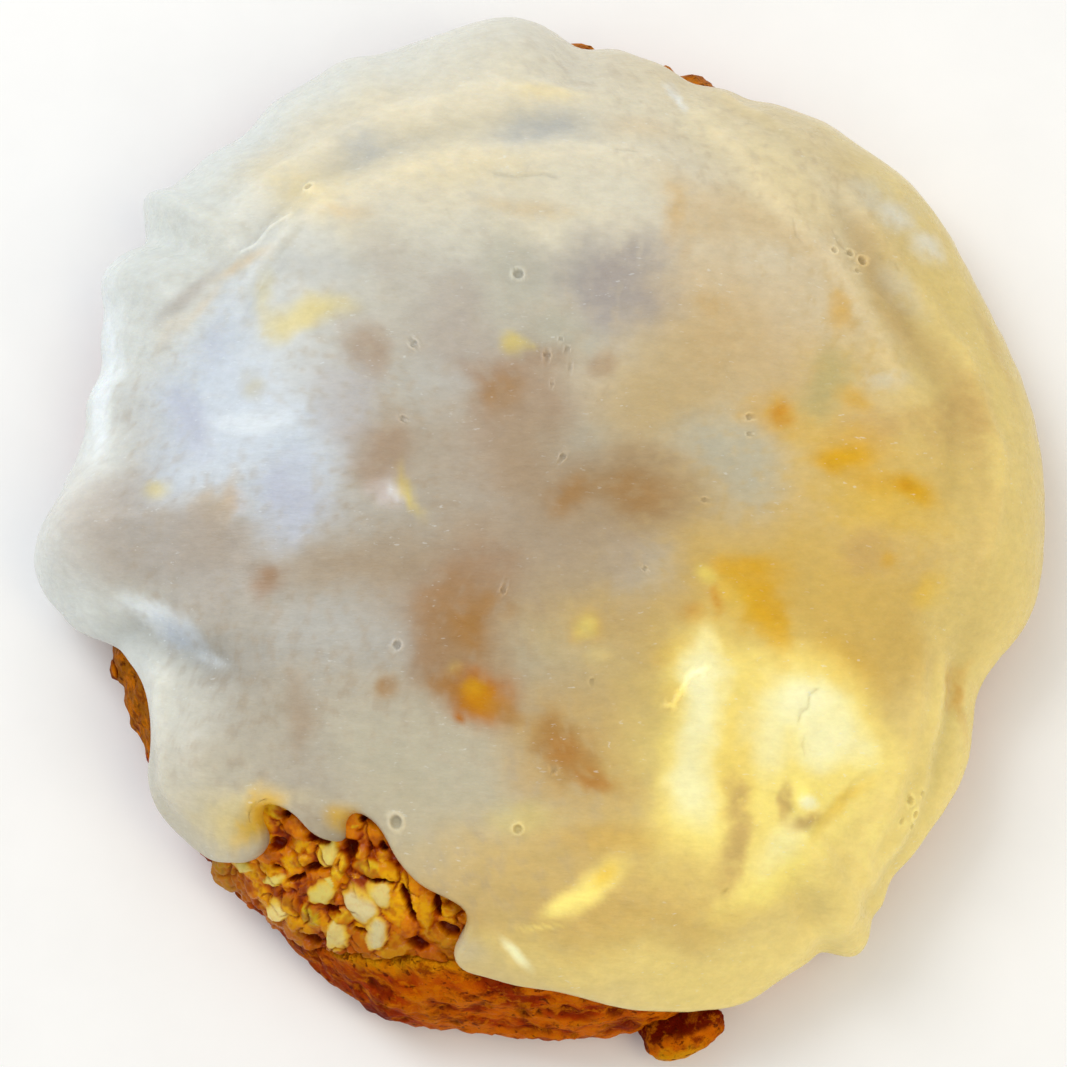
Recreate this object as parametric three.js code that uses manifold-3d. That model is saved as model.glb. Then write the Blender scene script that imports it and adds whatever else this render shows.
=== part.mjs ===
// An iced oatmeal cookie: a thick round oatmeal biscuit with a domed top, under a coat of poured icing.
// The icing has run down the side in lobes and drips, and leaves one patch of the oaty crumb bare.
//
// Millimetres, +Z up, with the origin under the middle of the cookie, on the surface it stands on.
// Angles are in degrees, anticlockwise from +X seen from above; -Y is the near side, with the bare patch.
// A place on the cookie is an angle and a distance walked from the top's centre over the baked surface.
import * as THREE from 'three';
import { mergeVertices } from 'three/addons/utils/BufferGeometryUtils.js';
import Module from 'manifold-3d';

// The baked dough. The top steepens with a power of the distance walked, down to the widest place, the foot.
const dough = {
  footRadius: 36.4,
  height: 16,
  walkToFoot: 42,
  steepest: 84,
  steepening: 3.2,
  heelWalk: 4.2,
  undercut: 2,
};

// The foot's outline: longer along Y than along X, with bulges and dents. Its middle lies off the origin.
const middle = { x: 0.3, y: -0.5 };
const footOval = 1.7;
const footLean = 0.7;
const footBulges = [
  { at: 74, half: 12, by: -0.8 },
  { at: 130, half: 30, by: 1.9 },
  { at: 200, half: 12, by: -0.5 },
  { at: 257, half: 20, by: 1.2 },
  { at: 318, half: 22, by: -1.6 },
  { at: 339, half: 8, by: -1.1 },
];

// The icing: its clearance from the dough, its thickness on top and at the rim, how far out it starts to
// thicken, the rounded bead at its edge in thicknesses, and how low the rim comes, more so where it is thick.
const icing = {
  gap: 0.35,
  top: 1.8,
  rim: 1.9,
  thickensFrom: 25,
  bead: 1.2,
  lowestWalk: 40.6,
  sag: 0.7,
  rootedBy: 0.6,
};

// Lobes and drips, where the rim hangs thicker.
const rimLobes = [
  { at: 4, half: 20, by: 0.9 },
  { at: 42, half: 14, by: 0.7 },
  { at: 94, half: 7, by: 1.3 },
  { at: 143, half: 8, by: 1.4 },
  { at: 164, half: 8, by: -0.3 },
  { at: 184, half: 9, by: 3.3 },
  { at: 222, half: 14, by: -0.5 },
  { at: 240, half: 20, by: -0.6 },
  { at: 306, half: 5, by: 1.6 },
];

// Where the rim stays higher up the side: over two slivers of crust at the back, and on the left.
const rimNotches = [
  { at: 71, half: 9, by: -3.4 },
  { at: 86, half: 2.5, by: -2.4 },
  { at: 206.5, half: 6.5, by: -4.6 },
];

// The rim round the bare patch on the near side, as angles and distances walked.
const patchEdge = [
  { at: 221, walk: 40.6 },
  { at: 227, walk: 38.2 },
  { at: 228.6, walk: 31.6 },
  { at: 232.5, walk: 29.9 },
  { at: 237, walk: 29.9 },
  { at: 242.5, walk: 26.5 },
  { at: 256, walk: 29.2 },
  { at: 258, walk: 29.7 },
  { at: 259.3, walk: 33.2 },
  { at: 264, walk: 34.5 },
  { at: 269, walk: 35 },
  { at: 291, walk: 40.6 },
];

// Slow swells of the poured surface.
const swells = { count: 5, height: 0.16, length: 26 };
const GOLDEN_ANGLE = 137.5;

// Dents in the bare side, crumbs in the bare patch, flakes round the side, and the lump at the near foot.
const crags = { seed: 5, depth: 0.7, clear: 1.2 };
const crumbs = {
  seed: 7,
  from: 226,
  to: 260,
  down: 37,
  slant: 0.11,
  pitch: 2.4,
  stray: 0.6,
  size: 1.35,
  spread: 0.4,
  long: 1.25,
  flat: 0.8,
  sunk: 0.1,
};
const sideFlakes = { seed: 21, count: 56, size: 1.5, flatness: 0.5, belowFoot: 0.6, lowest: 0.3 };
const crustGap = 0.5;
const lump = { at: 284.8, radius: 38.4, up: 2.7, length: 3.7, depth: 2.2, height: 1.9, turn: 12 };

// How finely the skins are faceted; the icing's rings crowd towards its rim.
const segments = 96;
const sectionSteps = 168;
const icingTopRings = 14;
const ringCrowding = 1.6;
const doughHiddenRings = [7, 14, 20, 24.5];
const doughShownFrom = 27;
const doughShownRings = 9;
const heelRings = 3;

const rad = THREE.MathUtils.degToRad;
const { lerp, smoothstep } = THREE.MathUtils;

/** The turn from one angle to another, from -180 to 180 degrees. */
const turnBetween = (a, b) => THREE.MathUtils.euclideanModulo(a - b + 180, 360) - 180;

/** A number of even steps from one value towards another, which is left out. */
const evenSteps = (from, to, count) => Array.from({ length: count }, (_, i) => lerp(from, to, i / count));

/** One smooth bulge or dent at an angle. */
const bulgeAt = (angle, { at, half, by }) => by * Math.exp(-((turnBetween(angle, at) / half) ** 2));

/** The sum of smooth bulges and dents at an angle. */
const bulgesAt = (angle, bulges) => bulges.reduce((sum, bulge) => sum + bulgeAt(angle, bulge), 0);

/** A repeatable stream of numbers from 0 to 1. */
function randomStream(seed) {
  let state = seed;
  return () => {
    state = (Math.imul(state, 1664525) + 1013904223) >>> 0;
    return state / 2 ** 32;
  };
}

// ---------------------------------------------------------------- the baked surface

/** The dough's section from the top's centre to the foot, as radius, height and slope at even distances. */
function crownSection() {
  const step = dough.walkToFoot / sectionSteps;
  const points = [{ r: 0, z: dough.height, slope: 0 }];
  for (let i = 1; i <= sectionSteps; i++) {
    const slope = dough.steepest * ((i - 0.5) / sectionSteps) ** dough.steepening;
    const last = points[i - 1];
    points.push({
      r: last.r + step * Math.cos(rad(slope)),
      z: last.z - step * Math.sin(rad(slope)),
      slope: dough.steepest * (i / sectionSteps) ** dough.steepening,
    });
  }
  return points;
}

const section = crownSection();
const sectionFoot = section[sectionSteps];

/** The radius of the dough's foot. */
function footRadiusAt(angle) {
  const oval = footLean * Math.cos(rad(angle)) - footOval * Math.cos(rad(2 * angle));
  return dough.footRadius + oval + bulgesAt(angle, footBulges);
}

/** Radius, height and slope of the baked surface: down the crown, round the heel, to the flat base. */
function bakedAt(angle, walk) {
  const foot = footRadiusAt(angle);
  if (walk > dough.walkToFoot) {
    const round = Math.min(1, (walk - dough.walkToFoot) / dough.heelWalk);
    return {
      r: foot - dough.undercut * (1 - Math.cos(rad(90 * round))),
      z: sectionFoot.z * (1 - Math.sin(rad(90 * round))),
      slope: lerp(dough.steepest, 180, round),
    };
  }
  const place = (walk / dough.walkToFoot) * sectionSteps;
  const low = Math.min(Math.floor(place), sectionSteps - 1);
  const between = (key) => lerp(section[low][key], section[low + 1][key], place - low);
  return { r: (between('r') * foot) / sectionFoot.r, z: between('z'), slope: between('slope') };
}

/** A point a given height off the baked surface. */
function pointOff(angle, walk, off) {
  const { r, z, slope } = bakedAt(angle, walk);
  const out = r + off * Math.sin(rad(slope));
  const up = z + off * Math.cos(rad(slope));
  return new THREE.Vector3(out * Math.cos(rad(angle)), out * Math.sin(rad(angle)), up);
}

// ---------------------------------------------------------------- the icing's rim and thickness

/** The rim's distance walked round the bare patch, or nothing at other angles. */
function patchRimAt(angle) {
  const next = patchEdge.findIndex(({ at }) => at > angle);
  if (next < 1) return undefined;
  const [from, to] = [patchEdge[next - 1], patchEdge[next]];
  return lerp(from.walk, to.walk, smoothstep(angle, from.at, to.at));
}

/** Where the icing ends, as a distance walked, and how thick it hangs there. */
function rimAt(angle) {
  const hang = icing.rim + bulgesAt(angle, rimLobes);
  const side = icing.lowestWalk + icing.sag * (hang - icing.rim) + bulgesAt(angle, rimNotches);
  return { walk: patchRimAt(angle) ?? side, hang };
}

/** The slow swells of the icing's surface, as a few crossing waves, each shorter and lower than the last. */
function swellAt(x, y) {
  let sum = 0;
  for (let i = 0; i < swells.count; i++) {
    const along = x * Math.cos(rad(i * GOLDEN_ANGLE)) + y * Math.sin(rad(i * GOLDEN_ANGLE));
    const phase = (2 * Math.PI * along * (1 + 0.3 * i)) / swells.length + 1.7 * i;
    sum += (swells.height / (1 + 0.35 * i)) * Math.sin(phase);
  }
  return sum;
}

/** How far the icing stands off the dough: even on top, heavier at the rim, rounded off at its edge. */
function icingOffAt(angle, walk, rim) {
  const { r } = bakedAt(angle, walk);
  const top = icing.top + swellAt(r * Math.cos(rad(angle)), r * Math.sin(rad(angle)));
  const bead = icing.bead * rim.hang;
  const full = lerp(top, rim.hang, smoothstep(walk, icing.thickensFrom, icing.lowestWalk - bead));
  const fromEdge = Math.min(1, (rim.walk - walk) / bead);
  const rounding = Math.sqrt(Math.max(0, 1 - (1 - fromEdge) ** 2));
  return icing.gap - icing.rootedBy + (full + icing.rootedBy) * rounding;
}

// ---------------------------------------------------------------- skins made from turned sections

/** A point of the icing's rim, with the baked surface laid out flat. */
function flatRimPoint(angle) {
  const { walk } = rimAt(angle % 360);
  return new THREE.Vector2(walk * Math.cos(rad(angle)), walk * Math.sin(rad(angle)));
}

/** The angles of the skins' columns, at even steps along the icing's rim, its radial edges included. */
function columnAngles() {
  const steps = 8 * segments;
  const reached = [0];
  for (let i = 1; i <= steps; i++) {
    const from = flatRimPoint((360 * (i - 1)) / steps);
    reached.push(reached[i - 1] + from.distanceTo(flatRimPoint((360 * i) / steps)));
  }
  return evenSteps(0, reached[steps], segments).map((length) => {
    const next = Math.max(1, reached.findIndex((sum) => sum >= length));
    const share = (length - reached[next - 1]) / (reached[next] - reached[next - 1]);
    return ((next - 1 + share) * 360) / steps;
  });
}

const columns = columnAngles();

/** A closed skin: a turned section whose every point is then placed by its angle and its index. */
function turnedSkin(points, placeAt) {
  const template = Array.from({ length: points }, (_, i) => new THREE.Vector2(i, i));
  const geometry = new THREE.LatheGeometry(template, segments);
  const position = geometry.attributes.position;
  for (let column = 0; column <= segments; column++) {
    for (let i = 0; i < points; i++) {
      const { x, y, z } = placeAt(columns[column % segments], i, column % segments);
      position.setXYZ(column * points + i, x, y, z);
    }
  }
  geometry.deleteAttribute('normal');
  geometry.deleteAttribute('uv');
  return facingOut(mergeVertices(geometry, 1e-4));
}

/** Turns the faces outwards, and drops those that closed to a line where the skin meets its axis. */
function facingOut(geometry) {
  const index = geometry.index.array;
  const kept = [];
  for (let i = 0; i < index.length; i += 3) {
    const [a, b, c] = [index[i], index[i + 1], index[i + 2]];
    if (a !== b && b !== c && c !== a) kept.push(b, a, c);
  }
  geometry.setIndex(kept);
  return geometry;
}

/** The icing as poured, grown by an even amount: over the top to its rim, and back inside the dough. */
function pouredSkin(grownBy) {
  return turnedSkin(icingTopRings + 3, (angle, i) => {
    const rim = rimAt(angle);
    const stepsBack = i - icingTopRings;
    if (stepsBack === 2) return pointOff(angle, 0, -icing.top);
    if (stepsBack === 1) return pointOff(angle, rim.walk / 2, -icing.top);
    const share = 1 - (1 - i / icingTopRings) ** ringCrowding;
    const off = icingOffAt(angle, share * rim.walk, rim);
    return pointOff(angle, share * (rim.walk + grownBy), off + grownBy);
  });
}

/** The distances walked at which the dough's skin has its rings, the last of them round the base. */
const doughWalks = [
  0,
  ...doughHiddenRings,
  ...evenSteps(doughShownFrom, dough.walkToFoot, doughShownRings),
  ...evenSteps(dough.walkToFoot, dough.walkToFoot + dough.heelWalk, heelRings),
  dough.walkToFoot + dough.heelWalk,
];

/** The dough's skin grown by an even amount, with a relief at each of its corners, and flat underneath. */
function doughSkin(grownBy, reliefAt) {
  return turnedSkin(doughWalks.length + 1, (angle, i, column) => {
    if (i === doughWalks.length) return new THREE.Vector3(0, 0, -grownBy);
    return pointOff(angle, doughWalks[i], grownBy + reliefAt(angle, i, column));
  });
}

/** The dough: smooth where the icing covers it, and dented where it shows. */
function doughGeometry() {
  const random = randomStream(crags.seed);
  const dents = Array.from({ length: segments * doughWalks.length }, random);
  return doughSkin(0, (angle, i, column) => {
    const shownFrom = rimAt(angle).walk + crags.clear;
    const bare = smoothstep(doughWalks[i], shownFrom, shownFrom + crags.clear);
    const onBase = i === doughWalks.length - 1;
    return onBase ? 0 : -crags.depth * bare * dents[column * doughWalks.length + i];
  });
}

// ---------------------------------------------------------------- crumbs, flakes and the lump

/** Places a small solid on the baked surface, its Z along the surface's outward direction. */
function seated(geometry, angle, walk, off, spin) {
  const { slope } = bakedAt(angle, walk);
  const seat = new THREE.Matrix4()
    .makeRotationZ(rad(angle))
    .multiply(new THREE.Matrix4().makeRotationY(rad(slope)))
    .multiply(new THREE.Matrix4().makeRotationZ(rad(spin)))
    .setPosition(pointOff(angle, walk, off));
  return geometry.applyMatrix4(seat);
}

/** One broken crumb of oat or nut, about as wide as its size and somewhat flat. */
function crumbGeometry(size, random) {
  const geometry = new THREE.IcosahedronGeometry(1, 0);
  const grow = () => size * (1 + crumbs.spread * (2 * random() - 1));
  return geometry.scale(crumbs.long * grow(), grow(), crumbs.flat * grow());
}

/** Crumbs set close together in the bare patch, from the icing's edge down to the smoother side. */
function patchCrumbs() {
  const random = randomStream(crumbs.seed);
  const found = [];
  for (let walk = doughShownFrom; walk < crumbs.down; walk += crumbs.pitch) {
    const turn = (360 * crumbs.pitch) / (2 * Math.PI * bakedAt(crumbs.from, walk).r);
    const until = Math.min(crumbs.to, crumbs.from + (crumbs.down - walk) / crumbs.slant);
    for (let angle = crumbs.from; angle < until; angle += turn) {
      const at = angle + crumbs.stray * turn * (random() - 0.5);
      const down = walk + crumbs.stray * crumbs.pitch * (random() - 0.5);
      const size = crumbs.size * (0.8 + 0.5 * random());
      const geometry = crumbGeometry(size, random);
      const spin = 180 * random();
      if (down > rimAt(at).walk) found.push(seated(geometry, at, down, crumbs.sunk * size, spin));
    }
  }
  return found;
}

/** Oat flakes baked into the side, wherever it shows below the icing. */
function sideFlakeSolids() {
  const random = randomStream(sideFlakes.seed);
  return Array.from({ length: sideFlakes.count }, (_, i) => {
    const angle = (360 * (i + 0.7 * random())) / sideFlakes.count;
    const low = dough.walkToFoot + sideFlakes.belowFoot;
    const walk = lerp(Math.min(low, rimAt(angle).walk + sideFlakes.size), low, random());
    const size = sideFlakes.size * (0.7 + 0.6 * random());
    const geometry = crumbGeometry(size, random).scale(1, 1, sideFlakes.flatness);
    return seated(geometry, angle, walk, 0, 180 * random());
  });
}

/** The lump of dough that stands out at the near side's foot. */
function lumpGeometry() {
  return new THREE.IcosahedronGeometry(1, 2)
    .scale(lump.depth, lump.length, lump.height)
    .rotateX(rad(lump.turn))
    .translate(lump.radius, 0, lump.up)
    .rotateZ(rad(lump.at));
}

// ---------------------------------------------------------------- solids

const wasm = await Module();
wasm.setup();

/** A closed geometry as a solid that can be joined. */
function solidOf(geometry) {
  geometry.deleteAttribute('normal');
  geometry.deleteAttribute('uv');
  const merged = mergeVertices(geometry, 1e-4);
  return new wasm.Manifold(new wasm.Mesh({
    numProp: 3,
    vertProperties: new Float32Array(merged.attributes.position.array),
    triVerts: new Uint32Array(merged.index.array),
  }));
}

/** A solid's surface as a geometry. */
function geometryOf(solid) {
  const mesh = solid.getMesh();
  const geometry = new THREE.BufferGeometry();
  geometry.setAttribute('position', new THREE.BufferAttribute(new Float32Array(mesh.vertProperties), 3));
  geometry.setIndex(new THREE.BufferAttribute(new Uint32Array(mesh.triVerts), 1));
  return geometry;
}

/** The largest of a solid's shells, so that a sealed hollow is filled and a loose scrap dropped. */
function mainShell(solid) {
  return solid.decompose().reduce((best, shell) => (shell.volume() > best.volume() ? shell : best));
}

/** The icing as poured, cut clear of the dough all over. */
function icingGeometry() {
  const clearance = solidOf(doughSkin(icing.gap, () => 0));
  return geometryOf(mainShell(solidOf(pouredSkin(0)).subtract(clearance)));
}

/** The dough with its crumbs, flakes and lump fused on, all cut clear of the icing and of the base. */
function cookieGeometry() {
  const crusts = [...patchCrumbs(), ...sideFlakeSolids(), lumpGeometry()]
    .map(solidOf)
    .reduce((sum, solid) => sum.add(solid))
    .subtract(solidOf(pouredSkin(crustGap)))
    .trimByPlane([0, 0, 1], sideFlakes.lowest);
  return geometryOf(mainShell(solidOf(doughGeometry()).add(crusts)));
}

/** A named mesh with its own flat-shaded material and computed normals. */
function meshOf(name, geometry, color, roughness) {
  geometry.computeVertexNormals();
  const material = new THREE.MeshStandardMaterial({ color, roughness, metalness: 0, flatShading: true });
  const mesh = new THREE.Mesh(geometry, material);
  mesh.name = name;
  return mesh;
}

const cookie = new THREE.Group();
cookie.position.set(middle.x, middle.y, 0);
cookie.add(meshOf('cookie', cookieGeometry(), 0xb06a24, 0.85));
cookie.add(meshOf('icing', icingGeometry(), 0xdcd3b8, 0.3));

export default cookie;
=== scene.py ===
"""An iced oatmeal cookie: baked dough with one bare patch of crumb, under poured sugar icing."""
import math
import random

import bmesh
import bpy
import numpy as np
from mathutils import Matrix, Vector, noise


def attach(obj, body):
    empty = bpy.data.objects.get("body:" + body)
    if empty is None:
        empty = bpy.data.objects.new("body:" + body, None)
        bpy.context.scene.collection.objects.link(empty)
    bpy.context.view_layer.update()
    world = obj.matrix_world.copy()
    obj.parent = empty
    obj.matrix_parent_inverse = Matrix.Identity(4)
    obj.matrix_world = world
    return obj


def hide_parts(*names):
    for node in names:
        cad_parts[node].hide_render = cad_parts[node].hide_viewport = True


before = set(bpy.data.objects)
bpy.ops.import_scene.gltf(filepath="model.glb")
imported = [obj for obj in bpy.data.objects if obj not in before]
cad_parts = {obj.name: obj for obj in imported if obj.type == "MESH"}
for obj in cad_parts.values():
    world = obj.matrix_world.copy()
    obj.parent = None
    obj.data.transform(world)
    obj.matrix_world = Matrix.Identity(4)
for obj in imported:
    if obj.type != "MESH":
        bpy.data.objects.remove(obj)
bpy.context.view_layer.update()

MM = 0.001  # every size below is in millimetres, and every angle in degrees

# ---- The baked dough, as its solid has it ----

DOUGH_HEIGHT = 16
FOOT_RADIUS = 36.4
WALK_TO_FOOT = 42  # over the baked surface, from the top's centre to the widest place
STEEPEST = 84
STEEPENING = 3.2
HEEL_WALK = 4.2  # round the bottom edge
UNDERCUT = 2
SECTION_STEPS = 168
MIDDLE = np.array((0.3, -0.5))  # of the foot, from the frame's origin
FOOT_OVAL = 1.7
FOOT_LEAN = 0.7
FOOT_BULGES = (  # at, half width, by
    (74, 12, -0.8), (130, 30, 1.9), (200, 12, -0.5),
    (257, 20, 1.2), (318, 22, -1.6), (339, 8, -1.1),
)

# ---- The icing ----

ICING_TOP = 1.8  # thickness over the top
ICING_RIM = 1.9  # thickness at the rim
THICKENS_FROM = 25
LOWEST_WALK = 40.6
SAG = 0.7  # how much further down a thicker lobe hangs
SUNK = 0.45  # its underside, below the baked surface
BEAD = 1.3  # of the rounded rim
BARE_BEAD = 0.6  # of its thinner edge at the bare patch
BEAD_UNDERCUT = 38  # degrees that the bead turns under
BEAD_WAIST = 0.34  # share of the thickness at which the bead is widest
RIM_LOBES = (  # at, half width, by
    (4, 20, 0.9), (42, 14, 0.7), (94, 7, 1.3), (143, 8, 1.4), (164, 8, -0.3),
    (184, 9, 3.3), (222, 14, -0.5), (240, 20, -0.6), (306, 5, 1.6),
)
RIM_SWELLS = (  # how much more the icing stands out: at, half width, by
    (86, 4.5, -1.3), (79, 3, -0.5), (97, 6, 0.5), (104, 4, 0.3), (113, 3, 0.5), (127, 3, -0.6),
    (140, 1.5, 0.8), (144.2, 2, -1.2), (151, 3.5, 1.4), (157, 3, 0.6), (165, 3, 0.8), (177, 6, -0.4),
    (209, 4, 0.4), (217, 5, 0.8), (72, 4, -0.7), (65, 2.6, -0.5), (56, 3, 0.3), (301.8, 1.5, -0.7),
    (304.8, 1.6, 0.1), (308.4, 1.3, -0.6), (312.5, 2.5, -0.4), (338, 9, -1.1), (3, 7, 0.25),
)
SWELLS_FROM = (27, 35)  # the walks between which they come in
CRUST_SWELLS_FROM = (35, 39)
CRUST_SWELLS = (  # the same for the crust below
    (86.6, 3.2, 1.7), (76, 1.3, 1.2), (71.6, 3.4, 1.45), (198, 2.2, 0.8), (204, 2.5, 0.5),
    (236, 9, -0.65), (252, 3, 0.5), (263, 7, -0.9),
)
RIM_NOTCHES = ((71, 9, -3.4), (86, 2.5, -2.4))
RIM_DRIPS = ((20, 5, 0.6), (55, 4, 0.5), (118, 6, 0.7), (142, 4, 0.5), (304, 3, 0.9), (330, 6, 0.5), (347, 5, 0.4))
# Where the edge leaves the crust bare: the notch at the left and the patch at the near side.
BARE_EDGE = (  # at, walk
    (191, 41.6), (194.2, 40.6), (196.5, 38.6), (198.6, 37.2), (202, 36), (205.6, 35.5), (209, 35.8),
    (211.6, 37.2), (213.4, 38.8), (217, 39.6), (222.6, 39.6), (226.6, 38), (229.2, 36.2), (231.3, 34.6),
    (231.3, 33), (228.3, 31.9), (228.3, 30.8), (230.6, 29.9), (233.1, 29.6), (235.8, 29.8), (238.2, 29.5),
    (240.6, 28.7), (239, 27.7), (239.4, 26.7), (241.4, 26.3), (244.1, 26.4), (246.1, 26.9), (248.2, 27.6),
    (252.4, 28.4), (256.4, 28.6), (259.4, 29.2), (259, 31), (258.2, 32.1), (259.7, 33.1), (262.3, 33.3),
    (265.2, 33.7), (271.3, 34.5), (275.7, 35.8), (280.1, 37.2), (286.7, 39.3), (291, 40.5),
)
SWELLS = 5
SWELL_HEIGHT = 0.16
SWELL_LENGTH = 26
GOLDEN_ANGLE = 137.5

ICING_COLUMNS = 640
INNER_WALK = 20  # inside it the columns run straight to the middle
BAND_RINGS = 60
INNER_RINGS = 46
FAN_ROUNDS = 220
BEAD_RINGS = 9
FINE_CUTS = 2  # in the faces under bubbles, cracks and the crater

# Dents and swellings of the icing: at, walk, half length, half width, turn, by
ICING_MOUNDS = (
    (127, 27, 1, 0.8, 10, 0.35), (178, 36, 6, 3, 80, 0.5), (216, 33, 3.5, 2.2, -60, 0.5),
    (230, 32.5, 1.8, 1.4, 0, -0.9), (240, 28.2, 1.7, 1.3, 0, -0.9), (300, 20, 5, 4, -20, -0.25),
    (309, 28.9, 0.9, 0.6, 30, 0.3), (150, 31, 5, 2.5, -35, -0.25), (90, 26, 8, 2, 4, -0.2),
    (30, 30, 8, 3, -60, -0.2), (8, 24, 4, 4, 0, 0.15), (322, 36, 7, 1.5, 60, -0.3),
    (284, 30, 8, 3, 8, 0.2), (262, 25, 6, 3, 20, 0.2),
)
# Ridges and grooves of the icing: half width, by, then the points (at, walk) that they run through
ICING_LINES = (
    (1.5, -0.9, ((196, 39), (197.5, 34.5), (201.6, 31.8), (207, 28.8), (212, 26))),
    (1, 0.45, ((200, 33.5), (206, 33), (211, 34), (217, 35.8), (224, 35.8))),
    (0.9, 0.3, ((69, 31.4), (61.6, 29), (55, 27), (46.7, 26.4), (35.6, 27), (26.4, 27.1), (14, 27.1))),
    (0.7, 0.25, ((70, 36), (57, 33), (46, 31.5), (38, 31.5), (20, 33), (5, 33.5), (350, 33))),
    (0.8, -0.25, ((66, 34), (52, 32.4), (40, 29.4), (28, 30), (12, 30.5), (356, 30))),
    (0.8, 0.28, ((140, 31), (128, 30.5), (112, 30), (98, 29.8), (84, 29.8))),
    (0.8, -0.25, ((143, 28.5), (128, 28), (110, 27.5), (96, 27.3), (82, 27.5))),
    (0.9, 0.28, ((148, 27), (139, 26.4), (128, 25.6), (112, 24.8), (98, 24.6), (84, 24.8), (74, 25.4))),
    (0.5, -0.2, ((150, 26), (142, 25.6), (136, 25.2), (130, 25.4))),
    (0.8, 0.3, ((340, 33.3), (334, 34.2), (327, 34.7), (322, 36.2), (316, 37.2), (309, 37.4))),
    (0.9, -0.22, ((342, 35.2), (334, 35.9), (327, 36.6), (321, 37.8), (314, 38.8), (305, 38.9))),
    (1, 0.3, ((297, 38), (303, 37.6), (309, 36.2), (318, 34.5), (328, 32.5), (338, 31.5))),
    (0.5, 0.22, ((262.5, 30), (264.3, 30.6), (265.6, 31.6), (266.6, 32.8))),
    (1.1, 0.3, ((267, 29.3), (271, 28.4), (275, 27.4), (281, 26.6))),
)
# Finer lines, cut where the faces are subdivided
CREASES = (
    (0.45, -0.13, ((306.6, 27.8), (306.2, 29.3), (307.2, 30.9), (309.8, 31.3), (311.5, 30.7))),
    (0.3, -0.08, ((311.5, 30.7), (313.4, 31.5), (316, 31.3), (319.5, 32.1))),
    (0.14, -0.05, ((300, 25.8), (303, 25.9), (306.6, 27.8))),
    (0.1, -0.12, ((322.4, 25.1), (320.4, 24.8), (318.6, 25.3), (317.2, 25.1), (315.3, 25.4))),
    (0.1, -0.08, ((315.1, 26.3), (313.7, 26.6), (312.9, 27.3))),
    (0.16, 0.16, ((295.7, 17.8), (298, 18.2), (300.4, 17.9), (304.9, 17.4), (309.6, 18))),
    (0.12, -0.12, ((292.4, 30.6), (293.9, 30.4))),
    (0.14, -0.1, ((100.2, 22.7), (96, 22.2), (91, 22.4), (87.9, 22.1))),
    (0.12, -0.08, ((79.6, 25.1), (75.2, 25.7))),
    (0.1, -0.08, ((49, 26.6), (46.5, 25.8), (44.6, 25.8))),
    (0.1, -0.08, ((44, 28.6), (41.5, 28.2), (39, 28.6))),
    (0.1, -0.07, ((37, 30.4), (35, 31.2), (33.4, 31.2))),
    (0.12, 0.1, ((141.5, 28.4), (139, 27.6), (135.6, 27.4), (132, 26.6))),
)
BUBBLES = (  # at, walk, radius
    (98, 15, 0.42), (133.4, 13.7, 0.32), (90.7, 8.9, 0.3), (156.3, 11.8, 0.28), (58.8, 1.9, 0.26),
    (18.4, 15.5, 0.3), (13.8, 15.2, 0.26), (352.3, 11.6, 0.24), (316, 9.8, 0.22), (248.4, 8.4, 0.24),
    (228.5, 16.2, 0.36), (281.6, 14.3, 0.22), (270.9, 19.6, 0.24), (246.3, 25.3, 0.5), (265, 23.3, 0.34),
    (41, 27.5, 0.3), (39.4, 28.6, 0.34), (37.6, 29.2, 0.42), (36.6, 28.2, 0.24),
    (320, 35.8, 0.36), (319.4, 36.9, 0.34), (318.2, 37.4, 0.28), (321.8, 36.4, 0.26), (317.4, 36.2, 0.24),
    (85.2, 10.2, 0.2), (82.1, 9.6, 0.22), (79.5, 8.3, 0.2), (88, 6.8, 0.18), (127.5, 27.4, 0.34),
)
BUBBLE_DEPTH = 0.4  # of its radius
BUBBLE_LIP = 0.22

# ---- Colours, as a screen shows them ----

# Painted light among these: the blue-white tint and the whitest are painted reflections of the cool window light, the
# warm yellow-white ones are painted highlights of the warm window light, and the pink-white one is a painted
# highlight.
ICING_TINTS = {
    "clay": (172, 151, 124), "ash": (180, 177, 168), "stone": (184, 180, 170), "mist": (210, 208, 194),
    "sand": (206, 186, 142), "honey": (213, 179, 92), "wheat": (212, 180, 102), "shell": (203, 196, 174),
    "oat": (190, 164, 112), "ivory": (224, 221, 206), "cream": (224, 214, 186), "butter": (230, 213, 164),
    "milk": (221, 225, 220), "straw": (230, 207, 130), "lemon": (243, 221, 138), "tan": (198, 163, 100),
    "sun": (232, 190, 46), "glow": (255, 234, 134), "glare": (255, 252, 204), "amber": (215, 164, 24),
    "orange": (204, 138, 14), "olive": (186, 172, 118), "grey": (188, 189, 185), "lilac": (184, 179, 181),
    "dusk": (174, 163, 152), "blush": (186, 175, 164), "russet": (163, 130, 98), "umber": (162, 135, 98),
    "rust": (178, 106, 0), "brown": (166, 120, 58), "peach": (222, 196, 152), "yellow": (230, 209, 104),
    "cool": (206, 215, 225), "snow": (240, 247, 250), "lavender": (186, 190, 206), "blossom": (218, 208, 206),
    "slate": (160, 152, 150), "sage": (180, 178, 162), "film": (240, 188, 0),
}
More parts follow.
